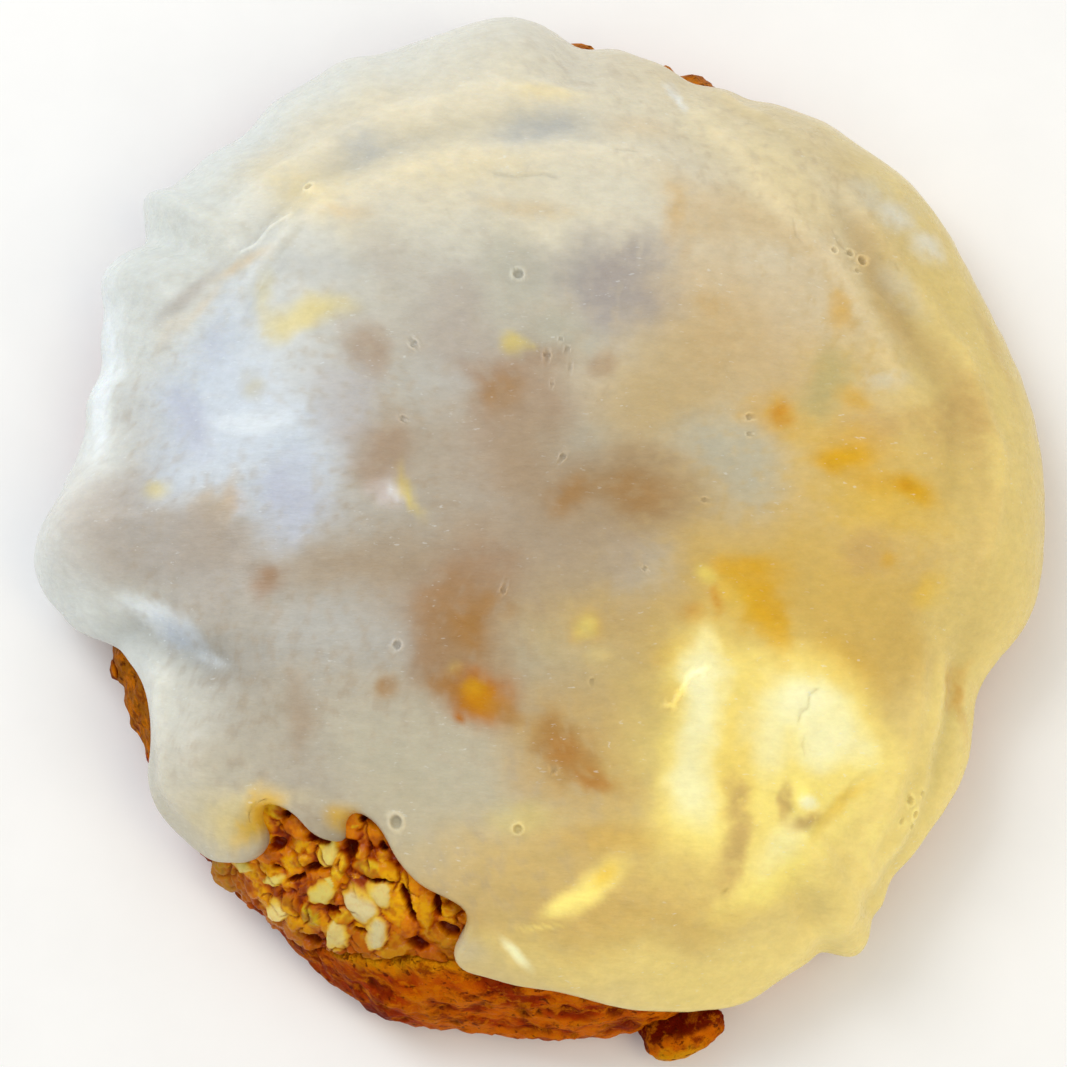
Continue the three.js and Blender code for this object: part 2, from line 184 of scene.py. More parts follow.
# Colours in the icing, the washes first and then the spots; the whitest, blue-white and warm yellow-white ones are
# painted reflections and highlights. Behind each tint are the ovals that it fills:
# at, walk, half length, half width, turn, strength.
ICING_WASHES = (
    ("ash", (180, 16.7, 24.9, 33, -1, 0.5)), ("mist", (131, 27.8, 20.5, 16.8, 12, 0.95)),
    ("ash", (103, 15.3, 8.9, 5.9, 1, 0.6)), ("stone", (199, 27.2, 15.7, 14.2, -5, 0.6)),
    ("sand", (44, 24.1, 13.9, 13, -43, 0.85)), ("tan", (48, 19.4, 9.4, 9.1, -39, 0.55)),
    ("oat", (42, 13.7, 8.1, 4.4, 2, 0.55)), ("dusk", (130, 13.9, 5.1, 4.2, -3, 0.3)),
    ("honey", (351, 26.1, 16.7, 17.6, 6, 0.95)), ("oat", (286, 14.6, 9.2, 5.8, -23, 0.75)),
    ("ivory", (105, 31.9, 40.2, 11.2, -40, 0.9)), ("cream", (99, 21.2, 14.4, 3.9, -3, 0.65),
    (105, 27.1, 18.1, 5.3, 6, 0.85), (69, 31.4, 9, 3.7, -29, 0.8)), ("butter", (54, 29.9, 8.3, 3.9, -48, 0.6)),
    ("shell", (250, 22.4, 13, 5.6, -5, 0.9)), ("wheat", (282, 28.1, 17.6, 8.3, 0, 0.88)),
    ("milk", (157, 38.4, 7.6, 13.4, -43, 0.9)), ("cool", (167, 23.9, 7.8, 10.1, -20, 0.75)),
    ("milk", (199, 36.2, 5.5, 4.8, -1, 0.7), (181, 42.2, 3.4, 13.1, -9, 0.95), (152, 34.3, 10.4, 8.5, -26, 0.5),
    (208, 33, 4.8, 5.3, 8, 0.6), (129, 41, 9.9, 7.2, 39, 0.85)), ("brown", (237, 11.3, 5.2, 5.3, 6, 0.35)),
    ("russet", (115, 6.2, 4.8, 6.3, -1, 0.4)), ("glow", (307, 25.7, 9.8, 7.9, -20, 0.6)),
    ("honey", (320, 17.2, 9.8, 5.7, -1, 0.45), (22, 22.1, 3.7, 3.8, 3, 0.45), (4, 24.4, 7.5, 6.9, 5, 0.5)),
    ("straw", (4, 33.5, 6, 21.1, 14, 0.85), (39, 41.9, 3, 12.9, 42, 0.7), (323, 36.9, 6.8, 11, -20, 0.8)),
    ("shell", (222, 34.6, 6, 4.2, 17, 0.6)), ("lemon", (289, 35.8, 20.6, 2.9, -7, 0.8),
    (314, 38.5, 5.6, 9.6, -41, 0.8)),
)
RIM_TINTS = (  # round the rim, where the icing is thick; its yellow on the right is partly the icing's own colour and partly painted warm light
    (0, "straw"), (40, "straw"), (62, "butter"), (80, "cream"), (95, "ivory"), (130, "milk"), (205, "milk"),
    (225, "shell"), (255, "butter"), (285, "lemon"), (330, "lemon"), (360, "straw"),
)
RIM_STRENGTH = 0.85
RELIEF_PALENESS_AND_SHADE = 0.32  # how much paler each millimetre of added thickness makes it, partly as thicker icing is paler and partly as painted light on ridges and painted shade in dents and grooves
SOFTER_WHEN_WIDE = 0.09  # how much wider an oval's soft edge is for each millimetre of its half width
WIDEST_SOFT = 3  # half width beyond which it grows no softer
WASH_EDGE = (0.1, 1.45)  # shares of its size between which a wash fades out
SPOT_EDGE = (0.2, 1.3)
GRAIN_SHOWS = 0.45
SHADES = (0.55, 1.2)  # the darkest and the palest that the painted shade and light of relief, bubbles and cracks make the icing
MARKS_PAINTED_SHADE = 1.1  # painted shade: how much darker each millimetre of a bubble or a crack makes it
LIPS_PAINTED_HIGHLIGHT = 3.2  # and painted highlight: how much paler what stands up in them
CLEAR_TINTS = ("glow", "glare", "lemon", "straw", "honey", "sun", "amber", "yellow")  # laid on evenly
RIM_FADE = (31.5, 38)
ICING_SPOTS = (
    ("yellow", (149, 22.9, 1.5, 1.2, 23, 0.38), (105, 10.5, 1, 0.9, -24, 0.8), (99, 9.9, 1, 0.4, -24, 0.8),
    (183, 10.5, 0.8, 1.9, 0, 0.6), (180, 29.1, 1.3, 1, -8, 0.6), (266, 22.4, 2.3, 1.6, -2, 0.45),
    (244, 14.5, 0.7, 0.6, 6, 0.7)), ("tan", (48, 17.6, 1.5, 1.2, 3, 0.45), (51, 25, 5.1, 1.1, -39, 0.3),
    (14, 30.8, 4.6, 1.3, -71, 0.45), (21, 36.5, 4.9, 0.9, -71, 0.35), (357, 31.9, 4.5, 1.3, -84, 0.25)),
    ("snow", (73, 32.7, 0.6, 1.5, 12, 0.6), (163, 36.4, 1.9, 7.1, -10, 0.85), (199, 31.9, 3.9, 1.6, -33, 0.9),
    (139, 41, 0.4, 1, 49, 0.5)), ("cream", (46, 30.5, 4.5, 1.4, -50, 0.4)),
    ("milk", (176, 33.6, 2.9, 4, -18, 0.5)), ("glow", (307, 28.3, 4.7, 1.9, -3, 0.7),
    (276, 27, 2.8, 1.1, 24, 0.95), (271, 27.9, 1.4, 0.6, 31, 0.8), (269, 29.3, 1.7, 0.2, 7, 0.6)),
    ("butter", (128, 27.6, 3.9, 3.1, -9, 0.6), (105, 23.2, 6.2, 1.7, 3, 0.25), (90, 29.2, 2.8, 1.1, 5, 0.6)),
    ("cool", (171, 20.6, 4.9, 3.1, -3, 0.85), (180, 18.9, 3.5, 3.9, -2, 0.8), (202, 30.7, 3.3, 1.4, -32, 0.8)),
    ("peach", (125, 23.9, 2.4, 0.7, -5, 0.4), (76, 27.4, 2.7, 1.3, 7, 0.3)), ("grey", (117, 27.3, 3.3, 2.1, -6, 0.7),
    (90, 25.4, 4.1, 2, 4, 0.8)), ("dusk", (150, 30.9, 3.7, 0.8, 33, 0.6), (229, 26.4, 3.1, 2.5, 2, 0.35)),
    ("peach", (150, 29.1, 2.3, 0.5, 37, 0.35), (143, 27.7, 2.6, 0.6, 14, 0.6), (155, 30.9, 1.1, 2, -38, 0.25)),
    ("tan", (38, 29.9, 3.7, 1.5, -50, 0.45), (27, 29.4, 4.5, 1.4, -58, 0.5)), ("mist", (117, 19.6, 4.1, 2.2, -2, 0.4),
    (43, 33.9, 3, 2.2, -41, 0.5), (31, 30.7, 3, 1.2, -48, 0.35)), ("ivory", (39, 33.9, 1.5, 1.5, -29, 0.75),
    (34, 34.4, 1.4, 1.4, -43, 0.75)), ("tan", (94, 19.8, 4.1, 0.6, -1, 0.3)), ("grey", (136, 22.4, 4.5, 1.2, 2, 0.5)),
    ("yellow", (143, 21, 3.2, 1.1, 8, 0.6), (146, 24.4, 0.8, 1.6, -7, 0.3)),
    ("cool", (158, 25.4, 2.9, 5.3, -10, 0.85), (170, 26.4, 4, 4.8, -1, 0.85)),
    ("lavender", (170, 27.6, 1.8, 2.1, -7, 0.7), (183, 19, 2.6, 2.8, -2, 0.75), (157, 26.5, 1.6, 2.3, -8, 0.3)),
    ("snow", (168, 23, 3.4, 1.2, -4, 0.45), (207, 28.8, 1.9, 0.5, -14, 0.7)),
    ("lilac", (160, 15.7, 2.6, 3.3, -2, 0.5)), ("blossom", (182, 12.2, 1.4, 1.4, -1, 0.8),
    (183, 23.9, 1.2, 1.1, -4, 0.4)), ("snow", (180, 11.7, 0.6, 1.3, 0, 0.6)), ("grey", (142, 10.7, 3.1, 2.3, -3, 0.5),
    (217, 19.9, 6.9, 2.7, 1, 0.5)), ("sage", (67, 3.9, 4.2, 1.9, 2, 0.5), (249, 21.8, 8.2, 3.7, -5, 0.5)),
    ("shell", (221, 35.1, 5.2, 2.1, 3, 0.8)), ("butter", (227, 34.2, 2.9, 2.1, 4, 0.6), (226, 31, 5, 1, 1, 0.5)),
    ("mist", (80, 21.8, 4.2, 1.6, -5, 0.3), (211, 33.2, 4, 2.8, -2, 0.5)), ("peach", (67, 21.5, 1.1, 2.4, 0, 0.45)),
    ("tan", (61, 20.7, 0.8, 1.9, 1, 0.35), (184, 24.9, 0.8, 2.6, -21, 0.45)),
    ("blush", (182, 34.4, 4.7, 4.4, -13, 0.6), (197, 27.7, 3.3, 3, -6, 0.4)),
    ("russet", (169, 11.8, 2.9, 2.3, -1, 0.6), (223, 24.6, 1.4, 2.1, 1, 0.4)),
    ("wheat", (285, 11.1, 2.2, 2.3, -5, 0.5)), ("amber", (285, 10.8, 1.3, 1.2, -5, 0.4)),
    ("grey", (317, 9.1, 3.8, 2.2, -2, 0.4)), ("yellow", (285, 10.7, 0.8, 0.9, -5, 0.7)),
    ("straw", (286, 12.8, 1, 0.8, -5, 0.4), (226, 33.4, 3.6, 1.8, 3, 0.5)),
    ("film", (228, 32, 1.5, 2.4, -31, 0.85), (238, 27.5, 1.5, 1.1, 4, 0.7)), ("sage", (274, 11.8, 4, 2.4, -4, 0.4),
    (265, 14.4, 3.9, 2, -1, 0.3)), ("olive", (161, 23.4, 0.9, 1.1, -5, 0.45)),
    ("slate", (73, 15.1, 3.1, 3.8, 2, 0.85)), ("dusk", (66, 17.6, 3.1, 3.9, -1, 0.6), (189, 27.3, 4.8, 2.3, -6, 0.5)),
    ("tan", (62, 23.2, 4.3, 1.9, -22, 0.45), (68, 22.2, 1, 2.4, 0, 0.3), (281, 20.2, 2.4, 3, -4, 0.45)),
    ("slate", (59, 14.4, 2.4, 2.7, 1, 0.6), (89, 16, 3.1, 2.5, 4, 0.4), (69, 18.2, 1.4, 2.2, -1, 0.4)),
    ("sage", (97, 15.1, 4.1, 3.7, 2, 0.6), (86, 10.4, 3.5, 1.7, 5, 0.7)), ("dusk", (120, 14.8, 2.8, 2.1, -2, 0.4),
    (123, 20.1, 2.4, 2.2, -3, 0.4)), ("oat", (37, 13.7, 5.2, 3.7, 2, 0.6)), ("tan", (48, 17.8, 3.7, 5.2, 3, 0.45)),
    ("oat", (37, 9.6, 4, 2.9, 2, 0.5)), ("russet", (143, 16.1, 1.3, 2.6, -4, 0.55), (65, 9.5, 1.3, 1, -1, 0.6)),
    ("dusk", (126, 12.2, 2.4, 3.2, -3, 0.5)), ("tan", (34, 19.7, 3.7, 4, 3, 0.4)),
    ("sage", (9, 13.9, 3.2, 3.8, 1, 0.7), (19, 11.7, 3, 1.8, 1, 0.4)), ("olive", (23, 21.8, 1.6, 2.6, 3, 0.8)),
    ("mist", (19, 26, 2.3, 0.9, 6, 0.4)), ("honey", (13, 20.3, 2.6, 2.6, 2, 0.6)),
    ("amber", (19, 17.9, 1.9, 2.1, 2, 0.6), (33, 25.1, 0.9, 1.8, 26, 0.5)), ("tan", (12, 24, 2.5, 2.2, 4, 0.6)),
    ("russet", (113, 7.6, 2.9, 3.6, 0, 0.62)), ("umber", (114, 7.1, 1.6, 1.8, 0, 0.45),
    (191, 24.3, 4.6, 2.2, -4, 0.3)), ("brown", (115, 7.1, 1.4, 1.6, -1, 0.6)),
    ("russet", (115, 3, 1.5, 2.8, -21, 0.45), (122, 9.5, 2.4, 1.1, -2, 0.4)), ("clay", (115, 2.2, 2.8, 5, 0, 0.7)),
    ("russet", (89, 9.1, 2.1, 1, 4, 0.45)), ("umber", (351, 5.5, 5.5, 3.3, 0, 0.8)),
    ("brown", (327, 1.9, 1.9, 1.5, -2, 0.6), (353, 6.8, 2.9, 1.7, 0, 0.5)), ("clay", (309, 5.9, 5.3, 2.4, -4, 0.6),
    (214, 7.1, 4.7, 2.5, 2, 0.6)), ("honey", (1, 24.3, 5.2, 3.8, 5, 0.7), (322, 17.4, 4.7, 3.6, 0, 0.45)),
    ("amber", (6, 22, 2.5, 1.1, 7, 0.9), (4, 21, 1, 1.2, 3, 0.7), (360, 26.7, 2, 1.1, -28, 0.9),
    (9, 22.8, 3.3, 1.8, 4, 0.35), (305, 15.7, 2, 1, -5, 0.35)), ("orange", (18, 18.1, 1, 1.1, 2, 0.7),
    (0, 26.2, 0.9, 0.6, -15, 0.5)), ("umber", (15, 7, 3.3, 1.5, 0, 0.5)), ("russet", (232, 11.3, 4.5, 4.3, 5, 0.6)),
    ("brown", (236, 11.8, 3.3, 3, 6, 0.45), (256, 9.3, 0.9, 0.7, 3, 0.3)), ("umber", (239, 14.6, 2.5, 2.6, 6, 0.5),
    (201, 17.8, 5.4, 2, -1, 0.5), (203, 13.1, 3.1, 2.3, 0, 0.4)), ("russet", (237, 15, 2.2, 2.8, 5, 0.5),
    (235, 7.2, 2.3, 1.6, 6, 0.4), (198, 22.9, 1.5, 1.8, -3, 0.7), (197, 22.7, 0.8, 1.1, -3, 0.5)),
    ("brown", (243, 11.3, 1.5, 1.6, 7, 0.7), (245, 9.4, 0.9, 0.8, 7, 0.5), (233, 18.9, 1.1, 0.8, 4, 0.7)),
    ("rust", (254, 15.2, 2.9, 2, -5, 1), (250, 17.4, 0.5, 0.4, 5, 0.9)), ("brown", (246, 15.7, 2.1, 1.2, -3, 0.6)),
    ("orange", (255, 15.4, 1.7, 1.1, -6, 0.85)), ("amber", (251, 15, 1, 0.6, 5, 0.5),
    (1, 23.6, 2.5, 1.4, -17, 0.5)), ("brown", (262, 15.9, 1.6, 0.8, -25, 0.7)),
    ("tan", (268, 16.9, 2, 0.6, -15, 0.5), (276, 18.5, 4.3, 3.8, -41, 0.7), (12, 26.8, 3.1, 1.6, 7, 0.5)),
    ("brown", (276, 18.8, 3.2, 1.6, -51, 0.6), (272, 16.9, 1.3, 1, -4, 0.55)),
    ("rust", (274, 18.3, 1.3, 1, -4, 0.4), (277, 20, 1.1, 1, -4, 0.4), (279, 21, 1.3, 0.7, -4, 0.5)),
    ("brown", (269, 18, 1, 0.6, -3, 0.5)), ("amber", (17, 23.4, 1.5, 0.8, -28, 0.5),
    (301, 17.7, 1.8, 0.9, -5, 0.4)), ("glow", (297, 22.7, 3, 4.6, -17, 0.95), (292, 25.5, 2.8, 1.7, -4, 0.8)),
    ("sun", (355, 24.4, 4.5, 2.3, 4, 0.35)), ("tan", (8, 30.5, 2.1, 3.5, 10, 0.6)),
    ("honey", (336, 20.7, 6.2, 3, 2, 0.45)), ("amber", (335, 16.9, 2.7, 1.2, 0, 0.85),
    (330, 19.6, 1.2, 3.2, 0, 0.85), (325, 20.1, 1, 3.4, 1, 0.95)), ("orange", (323, 16.2, 0.7, 1.7, 0, 0.7),
    (315, 14.6, 1.4, 1, -2, 0.45)), ("sun", (328, 17.2, 1.4, 1.7, 0, 0.45), (345, 29.7, 1.7, 1.4, 8, 0.6)),
    ("yellow", (328, 14.2, 1.1, 0.7, 0, 0.7)), ("tan", (346, 24.1, 1.8, 2, 5, 0.7)),
    ("amber", (347, 25.6, 0.6, 0.7, 5, 0.5)), ("honey", (334, 26.7, 5, 3.6, 3, 0.5)),
    ("amber", (326, 26.5, 3.6, 2.8, 3, 0.5)), ("glow", (318, 26.3, 5, 3.5, -8, 0.9), (317, 28.6, 4, 3.1, 1, 0.9),
    (306, 18.9, 3.3, 3.6, -13, 0.85)), ("straw", (344, 32.5, 2.6, 3.1, 9, 0.5)),
    ("orange", (335, 37, 0.6, 2.6, 5, 0.5)), ("wheat", (341, 19.2, 2.9, 3.2, 3, 0.3)),
    ("glow", (308, 25.9, 9.9, 7.3, -20, 0.7)), ("sun", (303, 24.5, 1.5, 3.8, -12, 0.25),
    (278, 26.5, 1.1, 0.6, 23, 0.6)), ("glare", (319, 25.4, 3.3, 1.7, -8, 0.9), (318, 28.6, 2.7, 1.9, 1, 0.8),
    (306, 18.9, 2, 3.1, -11, 0.85), (296, 22.6, 1.9, 3.1, -15, 0.75), (312, 24.7, 1.9, 2.9, -1, 0.6)),
    ("amber", (279, 24.6, 4, 0.9, -4, 0.25)), ("glow", (304, 31.4, 6.3, 3.3, 21, 0.95),
    (299, 31.9, 3.8, 1.7, 3, 0.8)), ("glare", (302, 30.4, 2.6, 1.3, 21, 0.4)),
    ("tan", (296, 27.4, 0.9, 3.5, -23, 0.75), (301, 25.4, 1, 1.2, -4, 0.4), (306, 28.8, 0.7, 1.4, -11, 0.75),
    (307, 30.5, 1.6, 0.6, 12, 0.7)), ("sun", (312, 31.7, 3.4, 0.6, 37, 0.5)),
    ("glare", (309, 29.7, 0.9, 0.6, -3, 0.95)), ("straw", (312, 33.7, 3.5, 0.8, 36, 0.3)),
    ("lemon", (309, 35.2, 4.5, 2.4, 35, 0.6)), ("straw", (304, 35.4, 4.7, 2.3, 18, 0.5)),
    ("glow", (298, 33.1, 2.9, 0.6, 21, 0.3)), ("wheat", (279, 30.3, 8, 1.9, 0, 0.4)),
    ("glare", (266, 31.3, 1.5, 0.4, -52, 0.95)), ("tan", (260, 29.3, 1.9, 0.8, -19, 0.4)),
    ("stone", (258, 31.5, 2.6, 1.3, -23, 0.6)),
)

CRUST_TINTS = {
    "crust": (176, 58, 0), "toasted": (112, 22, 0), "golden": (214, 118, 0), "speck": (76, 12, 0),
    "tawny": (214, 106, 0), "maroon": (96, 8, 0), "lip": (222, 154, 10),
    "painted_shadow": (48, 10, 4), "sliver": (196, 126, 36), "left": (160, 98, 8), "under": (150, 84, 24),
}
CRUMB_TINTS = {
    "orange": (218, 130, 0), "gold": (232, 170, 4), "yellow": (232, 192, 30), "pale": (228, 208, 110),
    "cream": (230, 208, 128), "glazed": (222, 206, 150), "green": (200, 174, 26), "amber": (208, 110, 0),
    "rust": (164, 60, 0), "maroon": (110, 20, 0), "brown": (160, 78, 0), "shaded": (62, 8, 2),
}

# ---- The bare crumb ----

CRUMB_FOOT = ((226, 41.5), (236, 41), (240.6, 39.3), (246, 36.6), (249, 35.6), (252, 34.6), (255, 33.6), (259, 33.2))
CRUMB_FLOOR = -3  # how far the dough falls away under the crumbs
# Named crumbs: at, walk, half length, half width, turn, how high the top is, tint
CHUNKS = (
    (245.4, 31.9, 1.31, 1.36, 87, 0.2, "glazed"), (247.5, 30.7, 1, 1.04, -69, 0.14, "cream"),
    (249.7, 30.6, 0.67, 1.14, 88, 0, "gold"), (248.7, 33.5, 1.24, 0.98, -82, 0.14, "glazed"),
    (240.2, 33.3, 1.5, 0.83, 33, 0.18, "pale"), (240.7, 32.2, 0.77, 0.44, 25, 0, "pale"),
    (240.1, 35.7, 1.24, 0.8, 66, 0.02, "green"), (243.5, 33.8, 1.07, 0.6, 2, 0.1, "yellow"),
    (244, 35.5, 1.46, 1.12, 72, 0.2, "cream"), (236.2, 37.8, 1.46, 0.99, 58, 0.06, "cream"),
    (237.3, 36.4, 1.01, 0.83, 53, -0.05, "gold"), (229.8, 37.1, 1.44, 0.63, 5, 0.02, "pale"),
    (228.1, 40.2, 1.47, 2.44, -16, 0.02, "green"), (234.1, 35.4, 1.06, 0.37, 18, -0.02, "pale"),
    (229.3, 31, 1.28, 0.69, 13, 0.2, "yellow"), (232.6, 30.6, 1.46, 0.86, -15, 0.16, "orange"),
    (228.7, 32.5, 0.82, 1.18, 74, 0.1, "gold"), (231.5, 34.5, 1.59, 0.69, 30, -0.02, "orange"),
    (234.7, 31.5, 0.98, 0.78, 55, -0.05, "gold"), (235.1, 33, 1.11, 0.51, 8, -0.08, "gold"),
    (238.8, 30.2, 1.22, 0.93, 72, 0.08, "pale"), (241.2, 30.7, 1.05, 0.79, 57, 0.1, "yellow"),
    (239.8, 27.5, 1.06, 0.97, -41, 0.16, "orange"), (240.5, 27.5, 0.37, 0.23, 7, 0.2, "yellow"),
    (243.7, 27.3, 0.87, 0.59, -36, 0.06, "orange"), (243.1, 29, 0.54, 0.44, 8, -0.05, "gold"),
    (245.2, 29.4, 0.91, 0.52, -1, 0.1, "yellow"), (247.6, 29, 0.92, 0.53, -13, 0.06, "gold"),
    (232.3, 38.1, 1.5, 1.24, 0, -0.12, "orange"), (238.6, 38.6, 0.82, 1.49, -28, -0.15, "orange"),
    (247.2, 34.7, 0.98, 0.91, -9, -0.12, "orange"), (251.5, 34.1, 1.47, 0.43, 21, 0.06, "yellow"),
    (248.6, 36.3, 1.31, 0.3, 23, 0.04, "yellow"), (251.8, 29.1, 0.71, 0.75, -46, 0, "orange"),
    (253.8, 30.6, 0.7, 1.35, -2, 0.04, "gold"), (256.8, 29.9, 0.64, 0.79, -61, -0.05, "gold"),
    (257.5, 32.1, 0.83, 0.47, -15, -0.02, "yellow"), (256.1, 33.7, 1.35, 0.66, -23, 0.02, "orange"),
    (252.2, 32.1, 0.46, 0.95, -13, -0.05, "orange"), (250, 31.9, 0.6, 0.44, 8, -0.2, "orange"),
    (239.7, 31.9, 0.95, 0.38, 24, -0.15, "orange"), (238.3, 34, 1.26, 0.34, 40, -0.25, "brown"),
)
HOLLOWS = (  # at, walk, half length, half width, turn
    (236.4, 30.1, 0.97, 0.35, -8), (241.7, 29.1, 0.53, 0.65, 20), (242, 33.9, 0.82, 0.34, -2),
    (257.2, 31.3, 0.85, 0.33, -20), (255.2, 29.8, 0.23, 0.76, 5), (253.8, 33, 0.74, 0.36, -24),
    (241.3, 37.9, 0.78, 0.57, -14), (237.8, 32.3, 0.86, 0.27, 18), (236.4, 34.1, 0.85, 0.25, 21),
    (250.4, 29.8, 0.26, 0.58, 20), (251.8, 30.8, 0.24, 0.76, 12), (246.7, 33.9, 0.47, 0.2, 11),
    (245.7, 27.7, 0.23, 0.4, 7), (230.8, 30.6, 0.3, 0.18, 5), (241.2, 26.8, 0.24, 0.23, 7),
    (233.6, 34.4, 0.55, 0.17, 9), (247, 29.8, 1.01, 0.14, -7), (232.1, 32.9, 0.68, 0.41, 7),
)
CRUMB_SEED = 11
CRUMB_COUNT = 150  # of small ones, between the named
CRUMB_BED = -0.42
CRUMB_BED_RISES = 0.45
CRUMB_GRAIN = 0.09
HOLLOW_DEPTH = 0.85
CRACK_DEPTH = 0.4
CRUMB_SINKS = 2.4  # at its edges, under the icing and the crust
CRUMB_TOPS = (-0.45, 0)
CRUMB_SIZES = (0.35, 0.8)  # half lengths of the small ones
CRUMB_MIX = ("orange", "orange", "gold", "gold", "amber", "amber", "yellow", "brown", "rust")
PALE_CRUMBS = ("glazed", "cream", "pale")
CRUMB_SIDES = 7
CRUMB_STEEP = 1.5
CRUMB_WORN = 7  # higher is sharper
BALL_WORN = 9
CRUMB_ACROSS = 226
CRUMB_DOWN = 172
CRUMB_FROM, CRUMB_TO = 224, 263  # degrees
CRUMB_START = 24.4
CRUMB_BOTTOM = -3.8

# Clefts in the crust, dented and painted maroon as the shade in them: at, walk, half length, half width, turn, how
# dark
CREVICES = (
    (284.5, 41.5, 3.2, 0.7, 18, 1), (277.4, 38.3, 0.9, 1, 0, 0.9), (250.5, 37.6, 1.6, 0.8, -20, 0.45),
    (262, 37.4, 1.2, 0.6, 10, 0.6), (241, 39.6, 1.4, 0.6, -30, 0.6), (268, 40.4, 1.6, 0.7, 0, 0.5),
)
CREVICE_DEPTH = 0.5
LUMP_AT = 284.8
LUMP_OUT = 39  # how far from the middle
LUMP_UP = 2.6
LUMP_TURN = 12
LUMP_SIZES = (3.6, 2, 1.8)
LUMP_SIDES = 14
LUMP_SEED = 3
FLAKE_COUNT = 64
NEAR_FROM, NEAR_TO = 216, 296  # the near side, which has none
FLAKE_SEED = 21
FLAKE_WALKS = (40.5, 44.6)
PIT_COUNT = 190
PIT_SEED = 4
PIT_WALKS = (34, 45)
PIT_SIZES = (0.16, 0.42)
PITS_ANYWHERE = 0.4  # share of them that may lie anywhere, not at the near side
CRUST_COARSE, CRUST_STRATA, CRUST_FINE, CRUST_SUNK = 0.2, 0.16, 0.26, 0.12  # depths of its relief

DOUGH_COLUMNS = 640
DOUGH_SHOWN_FROM = 25.4
DOUGH_RINGS = 62
HIDDEN_WALKS = (7, 14, 20, 24)
DOUGH_UNDER = (1, 20, 45)  # rings of the underside, counted back from the last
ICING_UNDER = (3, 12, 30, 60)


# ---- The baked surface ----

def smooth(value, low, high):
    share = np.clip((value - low) / (high - low), 0, 1)
    return share * share * (3 - 2 * share)


def band(value, rise, full, fall, end):
    """1 from full to fall, and 0 outside rise and end."""
    return smooth(value, rise, full) * (1 - smooth(value, fall, end))


def bumps(at, rows):
    """The sum of the rows' bell curves round the cookie: at, half width, by."""
    return sum(by * np.exp(-(((at - middle + 180) % 360 - 180) / half) ** 2) for middle, half, by in rows)


def section():
    """The baked dough's section from its top's centre out: how far out and how far up, step by step."""
    share = (np.arange(SECTION_STEPS) + 0.5) / SECTION_STEPS
    slope = np.radians(STEEPEST * share ** STEEPENING)
    step = WALK_TO_FOOT / SECTION_STEPS
    out = np.concatenate(([0], np.cumsum(np.cos(slope) * step)))
    up = DOUGH_HEIGHT - np.concatenate(([0], np.cumsum(np.sin(slope) * step)))
    return np.linspace(0, WALK_TO_FOOT, SECTION_STEPS + 1), out, up


SECTION_WALK, SECTION_OUT, SECTION_UP = section()


def foot_radius(at):
    turn = np.radians(at)
    return FOOT_RADIUS + FOOT_LEAN * np.cos(turn) - FOOT_OVAL * np.cos(2 * turn) + bumps(at, FOOT_BULGES)


def baked(at, walk, off=0.0):
    """Points off above the baked surface, walk over it from its top's centre, in the direction at."""
    turn = np.radians(at)
    heel = np.clip((walk - WALK_TO_FOOT) / HEEL_WALK, 0, 1)
    round_heel = np.radians(90 * heel)
    out = np.interp(walk, SECTION_WALK, SECTION_OUT) * foot_radius(at) / SECTION_OUT[-1]
    out = out - UNDERCUT * (1 - np.cos(round_heel))
    up = np.interp(walk, SECTION_WALK, SECTION_UP) * (1 - np.sin(round_heel))
    on_top = STEEPEST * (np.minimum(walk, WALK_TO_FOOT) / WALK_TO_FOOT) ** STEEPENING
    slope = np.radians(np.where(walk < WALK_TO_FOOT, on_top, STEEPEST + (180 - STEEPEST) * heel))
    out = out + off * np.sin(slope)
    up = up + off * np.cos(slope)
    return np.stack((out * np.cos(turn) + MIDDLE[0], out * np.sin(turn) + MIDDLE[1], up), axis=-1)


def flat_of(at, walk):
    """The surface laid out flat round its top's centre."""
    turn = np.radians(at)
    return np.stack((walk * np.cos(turn), walk * np.sin(turn)), axis=-1)


def at_and_walk(flat):
    return np.degrees(np.arctan2(flat[..., 1], flat[..., 0])) % 360, np.hypot(flat[..., 0], flat[..., 1])


def rippled(points, size, seed, octaves=3):
    """Fractal noise from about -1 to 1 at each point, with waves of that size and finer."""
    shift = Vector((seed * 17.3, seed * 5.1, seed * 9.7))
    spots = np.column_stack((points, np.zeros((len(points), 3 - points.shape[1])))) / size
    return np.array([noise.fractal(Vector(spot) + shift, 1.0, 2.0, octaves) for spot in spots])


def wobbled(flat, seed):
    """The flat surface with its points pushed about, so that no spot on it has an even outline."""
    coarse = [rippled(flat, 6.0, seed + i, 2) * 1.5 for i in range(2)]
    fine = [rippled(flat, 1.1, seed + 2 + i, 2) * 0.35 for i in range(2)]
    return np.stack((coarse[0] + fine[0], coarse[1] + fine[1]), axis=-1)


def oval_axes(flat, at, walk, half_long, half_wide, turn):
    """How far each point lies along and across an oval on the flat surface, as shares of its half sizes."""
    away = flat - flat_of(at, walk)
    angle = math.radians(turn)
    along = (away[:, 0] * math.cos(angle) + away[:, 1] * math.sin(angle)) / half_long
    across = (away[:, 1] * math.cos(angle) - away[:, 0] * math.sin(angle)) / half_wide
    return along, across


def in_oval(flat, *oval):
    """How far each point lies from the middle of an oval, as a share of its size."""
    return np.hypot(*oval_axes(flat, *oval))


def from_spot(flat, at, walk, radius=1.0):
    """How far each point lies from a spot, in millimetres or as a share of its radius."""
    return np.hypot(*(flat - flat_of(at, walk)).T) / radius


def from_line(flat, knots):
    """How far each point of the flat surface is from a line of (at, walk) knots."""
    line = np.array([flat_of(at, walk) for at, walk in knots])
    nearest = np.full(len(flat), 1e9)
    for start, end in zip(line, line[1:]):
        along = end - start
        share = np.clip((flat - start) @ along / (along @ along), 0, 1)
        nearest = np.minimum(nearest, np.hypot(*(flat - start - share[:, None] * along).T))
    return nearest


